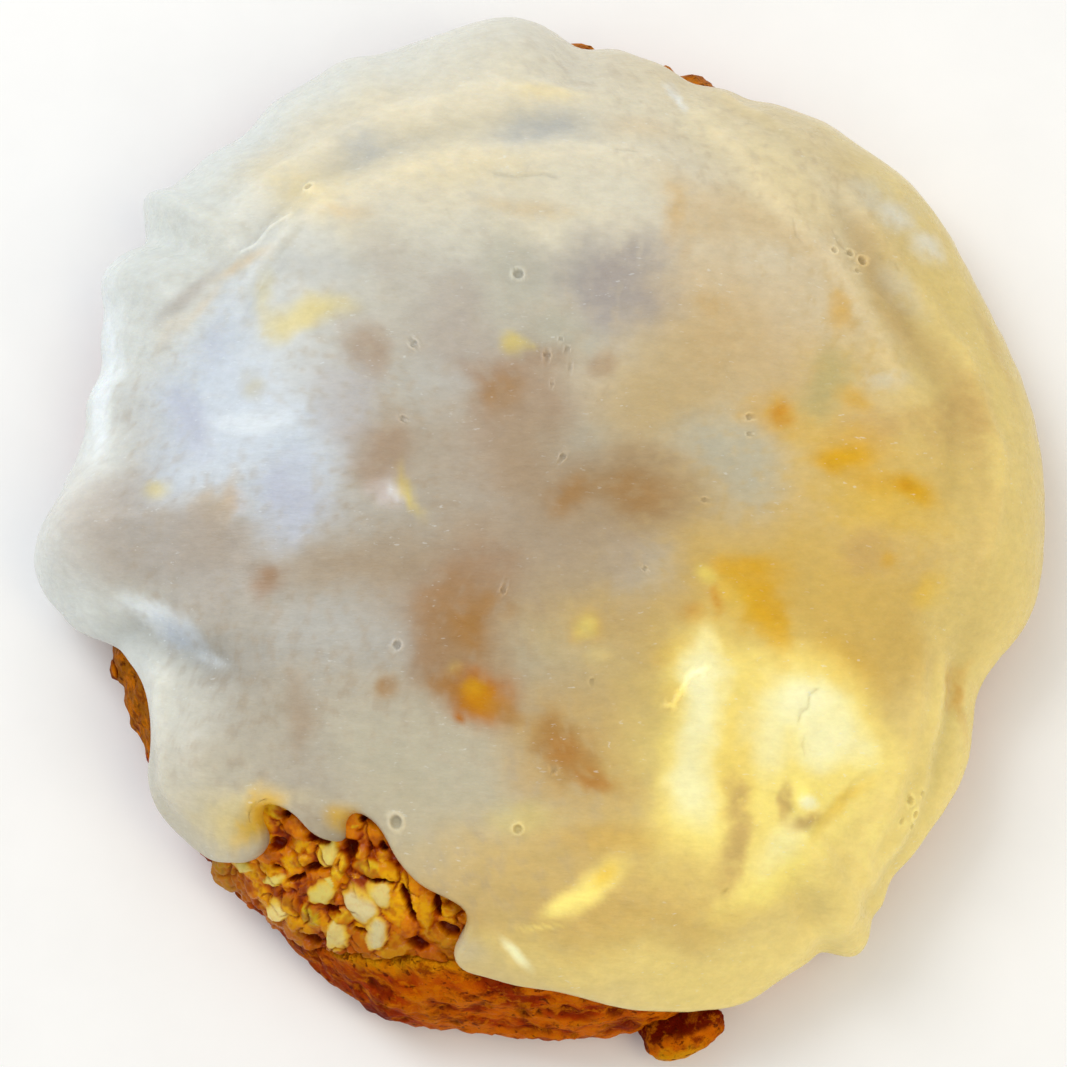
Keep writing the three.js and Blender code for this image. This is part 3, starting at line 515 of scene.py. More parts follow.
def line_share(flat, knots, half):
    """1 on a line, falling to 0 at twice its half width and towards its two ends."""
    ends = [from_spot(flat, *knot) for knot in (knots[0], knots[-1])]
    fade = smooth(np.minimum(*ends), 0, 3 * half)
    return np.exp(-(from_line(flat, knots) / half) ** 2) * (0.25 + 0.75 * fade)


def seen(colour):
    """A colour as a screen shows it, as the share of light that it sends back."""
    share = np.array(colour) / 255
    return np.where(share < 0.04045, share / 12.92, ((share + 0.055) / 1.055) ** 2.4)


def stain(tints, colour, share):
    """Turns the tints towards a screen colour, by a share for each point."""
    tints += (seen(colour) - tints) * np.clip(share, 0, 1)[:, None]


# ---- Meshes ----

SECTORS = 16  # a spun body is turned a sixteenth of the way and copied round
MERGE = 0.002

def spun(line, columns):
    """A closed body turned from a line of (out, up) points that starts and ends on the axis."""
    bm = bmesh.new()
    points = [bm.verts.new((out, 0, up)) for out, up in line]
    edges = [bm.edges.new(pair) for pair in zip(points, points[1:])]
    turn = {"axis": (0, 0, 1), "cent": (0, 0, 0)}
    bmesh.ops.spin(bm, geom=points + edges, angle=math.tau / SECTORS, steps=columns // SECTORS, **turn)
    sector = bm.verts[:] + bm.edges[:] + bm.faces[:]
    rest = math.tau * (SECTORS - 1) / SECTORS
    bmesh.ops.spin(bm, geom=sector, angle=rest, steps=SECTORS - 1, use_duplicate=True, **turn)
    bmesh.ops.remove_doubles(bm, verts=bm.verts, dist=MERGE)
    bmesh.ops.recalc_face_normals(bm, faces=bm.faces)
    return bm


def places(bm):
    return np.array([vert.co for vert in bm.verts])


def move(bm, spots):
    for vert, spot in zip(bm.verts, spots):
        vert.co = spot


def ring_and_column(bm, columns):
    spots = places(bm)
    ring = np.rint(np.hypot(spots[:, 0], spots[:, 1])).astype(int)
    column = np.rint(np.arctan2(spots[:, 1], spots[:, 0]) / math.tau * columns).astype(int) % columns
    return ring, column, spots[:, 2]


def finished(name, bm, material, tints, replaces=None):
    """Makes the piece an object of its own, with its faces outward and its tints as a colour attribute."""
    bmesh.ops.recalc_face_normals(bm, faces=bm.faces)
    mesh = bpy.data.meshes.new(name)
    bm.to_mesh(mesh)
    bm.free()
    for polygon in mesh.polygons:
        polygon.use_smooth = True
    colours = np.column_stack((tints, np.ones(len(tints))))
    mesh.color_attributes.new("tint", "FLOAT_COLOR", "POINT").data.foreach_set("color", colours.ravel())
    mesh.materials.append(material)
    piece = bpy.data.objects.new(name, mesh)
    bpy.context.scene.collection.objects.link(piece)
    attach(piece, "root")
    if replaces:
        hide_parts(replaces)


# ---- Materials ----

class Finish:
    """A material's nodes, added one by one."""

    def __init__(self, name, **settings):
        self.material = bpy.data.materials.new(name)
        self.material.use_nodes = True
        self.tree = self.material.node_tree
        self.skin = self.tree.nodes["Principled BSDF"]
        for socket, value in settings.items():
            self.skin.inputs[socket.replace("_", " ")].default_value = value
        self.place = self.add("ShaderNodeTexCoord").outputs["Object"]

    def add(self, kind, inputs=None, **settings):
        node = self.tree.nodes.new(kind)
        for key, value in settings.items():
            setattr(node, key, value)
        for socket, value in (inputs or {}).items():
            if isinstance(value, bpy.types.NodeSocket):
                self.tree.links.new(value, node.inputs[socket])
            else:
                node.inputs[socket].default_value = value
        return node

    def tint(self):
        return self.add("ShaderNodeAttribute", attribute_name="tint").outputs["Color"]

    def grain(self, size, detail=3.0, stretch=(1, 1, 1), roughness=0.55, turn=0.0):
        """Noise with grains of that size in millimetres."""
        place = self.add("ShaderNodeMapping", {
            "Vector": self.place, "Rotation": (0, 0, turn), "Scale": [1 / (size * MM * s) for s in stretch]})
        return self.add("ShaderNodeTexNoise", {
            "Vector": place.outputs["Vector"], "Scale": 1.0, "Detail": detail, "Roughness": roughness}).outputs["Fac"]

    def spread(self, value, low, high, to_low, to_high):
        return self.add("ShaderNodeMapRange", {
            "Value": value, "From Min": low, "From Max": high, "To Min": to_low, "To Max": to_high}).outputs["Result"]

    def grey(self, shade):
        return self.add("ShaderNodeCombineColor", {"Red": shade, "Green": shade, "Blue": shade}).outputs["Color"]

    def blend(self, share, first, second, how="MIX"):
        node = self.add("ShaderNodeMix", data_type="RGBA", blend_type=how)
        for index, value in ((0, share), (6, first), (7, second)):
            if isinstance(value, bpy.types.NodeSocket):
                self.tree.links.new(value, node.inputs[index])
            elif index:
                node.inputs[index].default_value = (*value, 1)
            else:
                node.inputs[index].default_value = value
        return node.outputs[2]

    def flecked(self, colour, grain, low, high, share, tint):
        """The colour with flecks of a screen colour where the grain is above low, strongest above high."""
        return self.blend(self.spread(grain, low, high, 0, share), colour, seen(tint))

    def relief(self, height, depth, under=None):
        inputs = {"Height": height, "Distance": depth * MM, "Strength": 1.0}
        if under:
            inputs["Normal"] = under
        return self.add("ShaderNodeBump", inputs).outputs["Normal"]

    def wear(self, colour=None, roughness=None, normal=None):
        for socket, value in (("Base Color", colour), ("Roughness", roughness), ("Normal", normal)):
            if value:
                self.tree.links.new(value, self.skin.inputs[socket])
        return self.material


def sugar_glaze():
    """Poured icing: cloudy, softly glossy, with faint brush-like strokes in its skin."""
    finish = Finish(
        "sugar glaze", Subsurface_Weight=0.25, Subsurface_Radius=(1.0, 0.8, 0.55), Subsurface_Scale=0.7 * MM,
        Specular_IOR_Level=0.08, Coat_Weight=0.15, Coat_Roughness=0.1)
    mottle = finish.spread(finish.grain(0.9, 5, (1.4, 0.9, 1), 0.7, 0.2), 0.3, 0.7, 0.925, 1.065)
    colour = finish.blend(1.0, finish.tint(), finish.grey(mottle), "MULTIPLY")
    # Pale specks in clusters, partly sugar grains and partly painted glints.
    specks_and_glints = finish.spread(finish.grain(0.3, 2, (2.2, 0.9, 1), turn=0.2), 0.66, 0.74, 0, 1)
    groups = finish.spread(finish.grain(6, 2), 0.46, 0.6, 0.03, 0.28)
    specks_and_glints = finish.add("ShaderNodeMath", {0: specks_and_glints, 1: groups}, operation="MULTIPLY").outputs[0]
    colour = finish.blend(specks_and_glints, colour, seen(ICING_TINTS["snow"]))
    roughness = finish.spread(finish.grain(3.5, 3), 0.3, 0.7, 0.2, 0.36)
    strokes = finish.relief(finish.grain(0.4, 3, (2.6, 0.8, 1), turn=0.2), 0.055)
    waves = finish.relief(finish.grain(2.4, 3), 0.05, strokes)
    return finish.wear(colour, roughness, waves)


def baked_crust():
    """The browned outside of the dough, with oat flecks, specks and pores."""
    finish = Finish(
        "baked crust", Subsurface_Weight=0.08, Subsurface_Radius=(1.0, 0.4, 0.15), Subsurface_Scale=0.4 * MM,
        Specular_IOR_Level=0.02)
    streaks = finish.grain(0.9, 5, (1.4, 1.4, 0.8), 0.7)
    colour = finish.flecked(finish.tint(), streaks, 0.5, 0.6, 0.7, CRUST_TINTS["golden"])
    burnt = finish.grain(1.5, 5, (1.4, 1.4, 0.8), 0.7)
    colour = finish.flecked(colour, burnt, 0.52, 0.64, 0.75, CRUST_TINTS["toasted"])
    specks = finish.grain(0.5, 4, (1.3, 1.3, 0.8), 0.6)
    colour = finish.flecked(colour, specks, 0.58, 0.66, 0.8, CRUST_TINTS["speck"])
    roughness = finish.spread(finish.grain(0.8, 3), 0.3, 0.7, 0.3, 0.6)
    rough = finish.relief(finish.grain(0.4, 5, roughness=0.7), 0.2)
    return finish.wear(colour, roughness, finish.relief(streaks, 0.3, rough))


def moist_crumb():
    """Oats and crumb, moist and half clear."""
    finish = Finish(
        "moist crumb", Subsurface_Weight=0.15, Subsurface_Radius=(1.0, 0.6, 0.2), Subsurface_Scale=0.4 * MM,
        Specular_IOR_Level=0.06, Coat_Weight=0.12, Coat_Roughness=0.08)
    veins = finish.grain(0.9, 5, roughness=0.65)
    colour = finish.flecked(finish.tint(), veins, 0.5, 0.68, 0.22, CRUMB_TINTS["amber"])
    flecks = finish.grain(0.5, 4, roughness=0.6)
    colour = finish.flecked(colour, flecks, 0.6, 0.72, 0.2, CRUMB_TINTS["rust"])
    roughness = finish.spread(finish.grain(0.6, 3), 0.3, 0.7, 0.22, 0.45)
    return finish.wear(colour, roughness, finish.relief(finish.grain(0.3, 4), 0.07))


def white_board():
    """The pale floor."""
    finish = Finish("white board", Roughness=0.8)
    shade = finish.spread(finish.grain(9, 3), 0.3, 0.7, 0.93, 0.96)
    return finish.wear(finish.grey(shade))


# ---- The icing piece ----

def free_rim(at):
    """How far down the side the icing reaches, away from the bare places."""
    return LOWEST_WALK + SAG * bumps(at, RIM_LOBES) + bumps(at, RIM_NOTCHES) + bumps(at, RIM_DRIPS)


def through(knots, steps):
    """A smooth curve through the knots, with that many steps between two of them."""
    knots = np.array(knots)
    padded = np.vstack((2 * knots[0] - knots[1], knots, 2 * knots[-1] - knots[-2]))
    points = []
    for a, b, c, d in zip(padded, padded[1:], padded[2:], padded[3:]):
        for share in np.arange(steps) / steps:
            points.append(0.5 * (2 * b + (c - a) * share + (2 * a - 5 * b + 4 * c - d) * share ** 2
                                 + (3 * b - a - 3 * c + d) * share ** 3))
    return np.array(points)


def icing_outline():
    """The icing's edge on the flat surface, as evenly spaced points, one for each column."""
    start, end = BARE_EDGE[-1][0] - 360, BARE_EDGE[0][0]
    at = np.arange(start + 2.5, end - 2.4, 0.25)
    free = flat_of(at, free_rim(at % 360) + 0.25 * np.sin(np.radians(at * 11)) * np.sin(np.radians(at * 3)))
    bare = np.array([flat_of(*knot) for knot in BARE_EDGE])
    ends = np.vstack((free[-1:], bare, free[:1]))
    line = np.vstack((free[:-1], through(ends, 8)))
    closed = np.vstack((line, line[:1]))
    run = np.concatenate(([0], np.cumsum(np.hypot(*np.diff(closed, axis=0).T))))
    even = np.linspace(0, run[-1], ICING_COLUMNS, endpoint=False)
    return np.column_stack([np.interp(even, run, closed[:, i]) for i in range(2)])


def softened(loop, reach):
    """A closed loop of points, each moved to the weighted middle of its neighbours within reach."""
    if reach < 0.3:
        return loop
    width = int(math.ceil(3 * reach))
    weights = np.exp(-0.5 * (np.arange(-width, width + 1) / reach) ** 2)
    weights /= weights.sum()
    return sum(weight * np.roll(loop, shift, axis=0) for shift, weight in zip(range(-width, width + 1), weights))


def fanned(rings, first, last):
    """Moves the rings between two of them until their lines run evenly and nowhere cross."""
    for _ in range(FAN_ROUNDS):
        inner, here, outer = rings[first:last - 1], rings[first + 1:last], rings[first + 2:last + 1]
        before, after = np.roll(here, 1, axis=1), np.roll(here, -1, axis=1)
        across, along = (outer - inner) / 2, (after - before) / 2
        skew = np.roll(outer, -1, axis=1) - np.roll(outer, 1, axis=1)
        skew = (skew - np.roll(inner, -1, axis=1) + np.roll(inner, 1, axis=1)) / 4
        wide = np.sum(across ** 2, axis=-1, keepdims=True)
        slanted = np.sum(across * along, axis=-1, keepdims=True)
        long = np.sum(along ** 2, axis=-1, keepdims=True)
        pull = wide * (before + after) + long * (inner + outer) - 2 * slanted * skew
        rings[first + 1:last] = pull / (2 * (wide + long))


def icing_rings():
    """Every ring of the icing's top on the flat surface, from the middle out, and its share of the thickness."""
    edge = softened(icing_outline(), 1.2)
    at, _ = at_and_walk(edge)
    bare = band(at, 222, 227, 266, 274)
    bead = (BEAD + (BARE_BEAD - BEAD) * bare)[:, None]
    along = softened(np.roll(edge, -1, axis=0) - np.roll(edge, 1, axis=0), 3.0)
    inward = np.column_stack((-along[:, 1], along[:, 0])) / np.hypot(*along.T)[:, None] * bead
    turns = np.unwrap(np.arctan2(edge[:, 1], edge[:, 0]))
    slant = turns - np.linspace(turns[0], turns[0] + math.tau, ICING_COLUMNS, endpoint=False)
    turns = turns - slant + softened(slant[:, None], 30)[:, 0]
    circle = INNER_WALK * np.column_stack((np.cos(turns), np.sin(turns)))
    rings = [circle * i / INNER_RINGS for i in range(INNER_RINGS)]
    for i in range(BAND_RINGS):
        share = i / BAND_RINGS
        start = softened(edge + inward, 14 * (1 - share))
        rings.append(circle + (start - circle) * share)
    shares = [1.0] * len(rings)
    for i in range(BEAD_RINGS + 1):
        turn = math.radians(90 - (90 + BEAD_UNDERCUT) * i / BEAD_RINGS)
        up = math.sin(turn)
        below = BEAD_WAIST * (1 + up / math.sin(math.radians(BEAD_UNDERCUT)))
        rings.append(edge + inward * (1 - math.cos(turn)))
        shares.append(BEAD_WAIST + (1 - BEAD_WAIST) * up if up > 0 else below)
    rings = np.array(rings)
    fanned(rings, INNER_RINGS, INNER_RINGS + BAND_RINGS)
    return rings, np.array(shares)


def swell(flat):
    """Long low waves in the icing, along five headings."""
    total = 0
    for i in range(SWELLS):
        heading = math.radians(i * GOLDEN_ANGLE)
        along = (flat[:, 0] + MIDDLE[0]) * math.cos(heading) + (flat[:, 1] + MIDDLE[1]) * math.sin(heading)
        wave = np.sin(math.tau * along * (1 + 0.3 * i) / SWELL_LENGTH + 1.7 * i)
        total = total + SWELL_HEIGHT / (1 + 0.35 * i) * wave
    return total


def icing_thickness(flat):
    at, walk = at_and_walk(flat)
    hang = ICING_RIM + bumps(at, RIM_LOBES)
    thick = ICING_TOP + swell(flat) + (hang - ICING_TOP) * smooth(walk, THICKENS_FROM, LOWEST_WALK - BEAD)
    thick += bumps(at, RIM_SWELLS) * smooth(walk, *SWELLS_FROM)
    return thick


def icing_relief(flat):
    """Dents, ripples and creases in the icing's top."""
    _, walk = at_and_walk(flat)
    thick = np.zeros(len(flat))
    for *oval, by in ICING_MOUNDS:
        thick += by * np.exp(-in_oval(flat, *oval) ** 2)
    for half, by, knots in ICING_LINES:
        thick += by * line_share(flat, knots, half)
    thick += 0.10 * rippled(flat, 5.0, 3, 2) * smooth(walk, 8, 24)
    thick += 0.05 * rippled(flat, 1.7, 4, 2) * smooth(walk, 14, 32)
    return thick


def bubbles_and_cracks(flat):
    """Burst bubbles, which are small round dents with a lip, and the fine lines in the skin."""
    thick = np.zeros(len(flat))
    for half, by, knots in CREASES:
        thick += by * line_share(flat, knots, half)
    for at, walk, radius in BUBBLES:
        away = from_spot(flat, at, walk, radius)
        lip = BUBBLE_LIP * np.exp(-((away - 1.05) / 0.3) ** 2)
        thick += radius * (lip - BUBBLE_DEPTH * (1 - smooth(away, 0.5, 1)))
    return thick


def icing_tints(flat):
    """Washes of colour that run into each other, then the spots where oats show through, and the painted highlights
    and reflections.
    """
    wobble = wobbled(flat, 31) * 1.35
    grain = 1 - GRAIN_SHOWS * smooth(rippled(flat, 0.9, 37, 3), 0.0, 0.5)
    tints = np.tile(seen(ICING_TINTS["clay"]), (len(flat), 1))

    def fill(table, inner, outer):
        for tint, *ovals in table:
            for *oval, strength in ovals:
                half_wide = oval[3]
                away = in_oval(flat + wobble * min(1, half_wide / 2.5), *oval)
                soft = outer + SOFTER_WHEN_WIDE * min(half_wide, WIDEST_SOFT)
                share = strength * (1 - smooth(away, inner, soft))
                if tint not in CLEAR_TINTS:
                    share *= grain + (1 - grain) * share ** 3
                stain(tints, ICING_TINTS[tint], share)

    fill(ICING_WASHES, *WASH_EDGE)
    around, out = at_and_walk(flat + wobble)
    knots = np.array([seen(ICING_TINTS[tint]) for _, tint in RIM_TINTS])
    rim = np.column_stack([np.interp(around, [at for at, _ in RIM_TINTS], column) for column in knots.T])
    tints += (rim - tints) * (RIM_STRENGTH * smooth(out, *RIM_FADE))[:, None]
    fill(ICING_SPOTS, *SPOT_EDGE)
    return tints


def refine(bm):
    """Cuts the top's faces finer under bubbles, cracks and the crater."""
    spots = places(bm)
    flat = spots[:, :2]
    near = np.zeros(len(flat), bool)
    for at, walk, radius in BUBBLES:
        near |= from_spot(flat, at, walk) < radius * 1.5 + 0.1
    for half, _, knots in CREASES:
        near |= from_line(flat, knots) < half * 2.2 + 0.1
    near &= spots[:, 2] > 0.99
    chosen = [face for face in bm.faces if all(near[vert.index] for vert in face.verts)]
    edges = list(dict.fromkeys(edge for face in chosen for edge in face.edges))
    bmesh.ops.subdivide_edges(bm, edges=edges, cuts=FINE_CUTS, use_grid_fill=True)


def icing():
    """The poured icing: one skin with a rounded rim, lobes, ripples, bubbles and cracks."""
    rings, shares = icing_rings()
    last = len(rings) - 1
    under = [last - back for back in ICING_UNDER] + [INNER_RINGS, INNER_RINGS // 2, 0]
    line = [(i, 1) for i in range(last + 1)] + [(i, 0) for i in under]
    bm = spun(line, ICING_COLUMNS)
    ring, column, level = ring_and_column(bm, ICING_COLUMNS)
    share = np.where(level > 0.5, shares[ring], 0.0)
    move(bm, np.column_stack((rings[ring, column], share)))
    bm.verts.index_update()
    refine(bm)
    spots = places(bm)
    flat, share = spots[:, :2], np.clip(spots[:, 2], 0, 1)
    at, walk = at_and_walk(flat)
    relief = icing_relief(flat)
    marks = bubbles_and_cracks(flat)
    thick = icing_thickness(flat) + relief + marks
    move(bm, baked(at, walk, (thick + SUNK) * share - SUNK) * MM)
    # Painted shade in the bubbles' dents and the cracks, painted highlights on their lips and raised lines, and the
    # relief's painted shade and light.
    marks = np.where(marks > 0, LIPS_PAINTED_HIGHLIGHT, MARKS_PAINTED_SHADE) * marks
    shade = np.clip(1 + RELIEF_PALENESS_AND_SHADE * relief + marks, *SHADES)[:, None]
    finished("icing_skin", bm, sugar_glaze(), icing_tints(flat) * shade, "icing")


# ---- The dough piece ----

def crumb_foot(at):
    """How far down the side the open crumb reaches."""
    knots = np.array(CRUMB_FOOT)
    return np.interp(at, knots[:, 0], knots[:, 1])


def in_patch(flat):
    """1 where the crumb is open, falling to 0 outside the bare patch."""
    at, walk = at_and_walk(flat)
    foot = crumb_foot(at)
    return band(at, 224.5, 228, 258.5, 261) * band(walk, 24, 25.5, foot - 0.5, foot + 0.3)


def pits():
    """Pores in the crust: at, walk and radius of each."""
    draw = random.Random(PIT_SEED)
    for _ in range(PIT_COUNT):
        at = draw.uniform(0, 360) if draw.random() < PITS_ANYWHERE else draw.uniform(228, 292)
        yield at, draw.uniform(*PIT_WALKS), draw.uniform(*PIT_SIZES)


def dough():
    """The baked dough: crust, pores and the floor of the open crumb."""
    shown = np.linspace(DOUGH_SHOWN_FROM, WALK_TO_FOOT + HEEL_WALK, DOUGH_RINGS)
    walks = np.concatenate(([0], HIDDEN_WALKS, shown))
    last = len(walks) - 1
    under = [last - back for back in DOUGH_UNDER] + [0]
    bm = spun([(i, 1) for i in range(last + 1)] + [(i, 0) for i in under], DOUGH_COLUMNS)
    ring, column, level = ring_and_column(bm, DOUGH_COLUMNS)
    at, walk = column * 360 / DOUGH_COLUMNS, walks[ring]
    flat = flat_of(at, walk)
    top = level > 0.5
    patch = in_patch(flat)
    strata = rippled(np.column_stack((flat * 0.55, walk * 1.4)), 2.2, 5, 4)
    coarse = rippled(flat, 5.5, 6, 3)
    fine = rippled(flat, 1.1, 8, 4)
    relief = CRUST_COARSE * coarse + CRUST_STRATA * strata + CRUST_FINE * fine - CRUST_SUNK
    off = smooth(walk, 25, 27) * relief + patch * CRUMB_FLOOR
    off += bumps(at, CRUST_SWELLS) * smooth(walk, *CRUST_SWELLS_FROM)
    below = walk - crumb_foot(at)
    tints = np.tile(seen(CRUST_TINTS["crust"]), (len(flat), 1))
    for tint, share in (
            ("golden", 0.5 * smooth(coarse, 0.1, 0.6) + 0.35 * smooth(strata, 0.15, 0.6)
             + 0.5 * smooth(fine, 0.1, 0.5)),
            ("toasted", 0.7 * smooth(-coarse, 0.15, 0.7) + 0.6 * smooth(-strata, 0.2, 0.6)),
            ("speck", 0.55 * smooth(-fine, 0.2, 0.7) * smooth(-strata, -0.2, 0.4)),
            ("tawny", band(at, 252, 266, 300, 310) * smooth(strata, -0.3, 0.2)),
            ("toasted", 0.5 * band(at, 230, 236, 250, 256) * smooth(fine, -0.4, 0.1)),
            ("lip", 0.75 * band(at, 242, 246, 258, 262) * (1 - smooth(below + 1.5 * strata, 0.5, 1.8))),
            ("left", 0.85 * band(at, 185, 195, 216, 224)),
            ("sliver", 0.7 * band(at, 56, 66, 86, 94) * (1 - smooth(walk + strata, 41, 43))),
            ("toasted", 0.8 * smooth(walk, WALK_TO_FOOT + 1.5, WALK_TO_FOOT + HEEL_WALK))):
        stain(tints, CRUST_TINTS[tint], share)
    # Painted shade: each cleft is dented and painted maroon.
    for *oval, share in CREVICES:
        dark = share * (1 - smooth(in_oval(flat + wobbled(flat, 41) * 0.4, *oval), 0.5, 1.2))
        off -= CREVICE_DEPTH * dark
        stain(tints, CRUST_TINTS["maroon"], dark)
    # Painted shade: each pore is dented and painted near black.
    for pit_at, pit_walk, radius in pits():
        away = from_spot(flat, pit_at, pit_walk, radius)
        off -= 0.7 * radius * (1 - smooth(away, 0.4, 1.1))
        stain(tints, CRUST_TINTS["painted_shadow"], 0.85 * (1 - smooth(away, 0.5, 1.2)))
    # Painted shade: the floor under the open crumb is painted dark.
    stain(tints, CRUST_TINTS["painted_shadow"], patch * (0.55 + 0.5 * strata))
    spots = baked(at, walk, off)
    spots[:, 2] = np.maximum(spots[:, 2], 0)
    base = baked(at, WALK_TO_FOOT + HEEL_WALK + 0 * walk)
    inner = (walk / walks[-1])[:, None]
    floor_spots = np.column_stack((MIDDLE + (base[:, :2] - MIDDLE) * inner, 0 * walk))
    move(bm, np.where(top[:, None], spots, floor_spots) * MM)
    tints = np.where(top[:, None], tints, seen(CRUST_TINTS["under"]))
    finished("baked_dough", bm, baked_crust(), tints, "cookie")


# ---- Crumbs, flakes and the lump ----

def surface_axes(at, walk, turn):
    """Unit vectors on the baked surface: along the turn, across it, and straight out."""
    here, out = baked(at, walk), baked(at, walk, 1.0)
    up = out - here
    down = baked(at, walk + 0.05) - here
    down /= np.linalg.norm(down)
    side = np.cross(up, down)
    angle = math.radians(turn - at)
    along = math.cos(angle) * down + math.sin(angle) * side
    return along, np.cross(up, along), up


def ball(detail):
    """A unit ball, made once for each detail."""
    name = f"ball {detail}"
    if name not in bpy.data.meshes:
        bm = bmesh.new()
        bmesh.ops.create_icosphere(bm, subdivisions=detail, radius=1.0)
        bm.to_mesh(bpy.data.meshes.new(name))
        bm.free()
    return bpy.data.meshes[name]


class Heap:
    """Crumbs gathered into one piece."""

    def __init__(self, seed):
        self.draw = random.Random(seed)
        self.bm = bmesh.new()
        self.spots = []
        self.tints = []

    def add(self, spot, axes, sizes, tint, shaded, detail, sides=11):
        """One crumb: a ball cut by flat sides whose edges are worn round, with painted shade, a darker tint, low
        down.
        """
        draw = self.draw
        mesh = ball(detail)
        self.bm.from_mesh(mesh)
        headings = np.array([vert.co for vert in mesh.vertices])
        faces = np.array([[draw.gauss(0, 1) for _ in range(3)] for _ in range(sides)])
        faces /= np.linalg.norm(faces, axis=1)[:, None]
        depth = np.array([draw.uniform(0.72, 1.0) for _ in range(sides)])
        press = np.maximum(headings @ faces.T, 0) / depth
        reach = 1 / (np.sum(press ** BALL_WORN, axis=1) + 0.9 ** BALL_WORN) ** (1 / BALL_WORN)
        reach *= 1 + 0.10 * rippled(headings + draw.uniform(0, 90), 0.6, 1)
        self.spots.append(spot + (headings * reach[:, None] * sizes) @ np.array(axes))
        # Painted shade: the tint darkens to the shaded one on the crumb's underside.
        lit = smooth(headings[:, 2], -0.55, 0.5)[:, None]
        self.tints.append(shaded + (tint * draw.uniform(0.86, 1.1) - shaded) * lit)

    def piece(self, name, material):
        move(self.bm, np.vstack(self.spots) * MM)
        finished(name, self.bm, material, np.vstack(self.tints))


def nugget(flat, oval, top, draw):
    """How high a crumb with worn flat sides stands over each point of the flat surface."""
    along, across = oval_axes(flat, *oval)
    size = math.sqrt(oval[2] * oval[3])
    lean = draw.uniform(0, math.tau)
    sides = [top + 0.28 * size * (along * math.cos(lean) + across * math.sin(lean))]
    for i in range(CRUMB_SIDES):
        heading = math.tau * (i + draw.uniform(-0.3, 0.3)) / CRUMB_SIDES
        reach = draw.uniform(0.55, 0.95)
        steep = CRUMB_STEEP * size * draw.uniform(0.6, 1.5)
        sides.append(top + steep * (reach - along * math.cos(heading) - across * math.sin(heading)))
    lowest = np.min(sides, axis=0)
    return lowest - np.log(sum(np.exp(CRUMB_WORN * (lowest - side)) for side in sides)) / CRUMB_WORN


def all_nuggets(draw):
    """The named crumbs, and small ones strewn between them."""
    yield from CHUNKS
    for _ in range(CRUMB_COUNT):
        at, walk = draw.uniform(CRUMB_FROM, CRUMB_TO), draw.uniform(25, 42)
        size = draw.uniform(*CRUMB_SIZES)
        top = draw.uniform(*CRUMB_TOPS)
        yield at, walk, size, size * draw.uniform(0.5, 0.95), draw.uniform(0, 180), top, draw.choice(CRUMB_MIX)


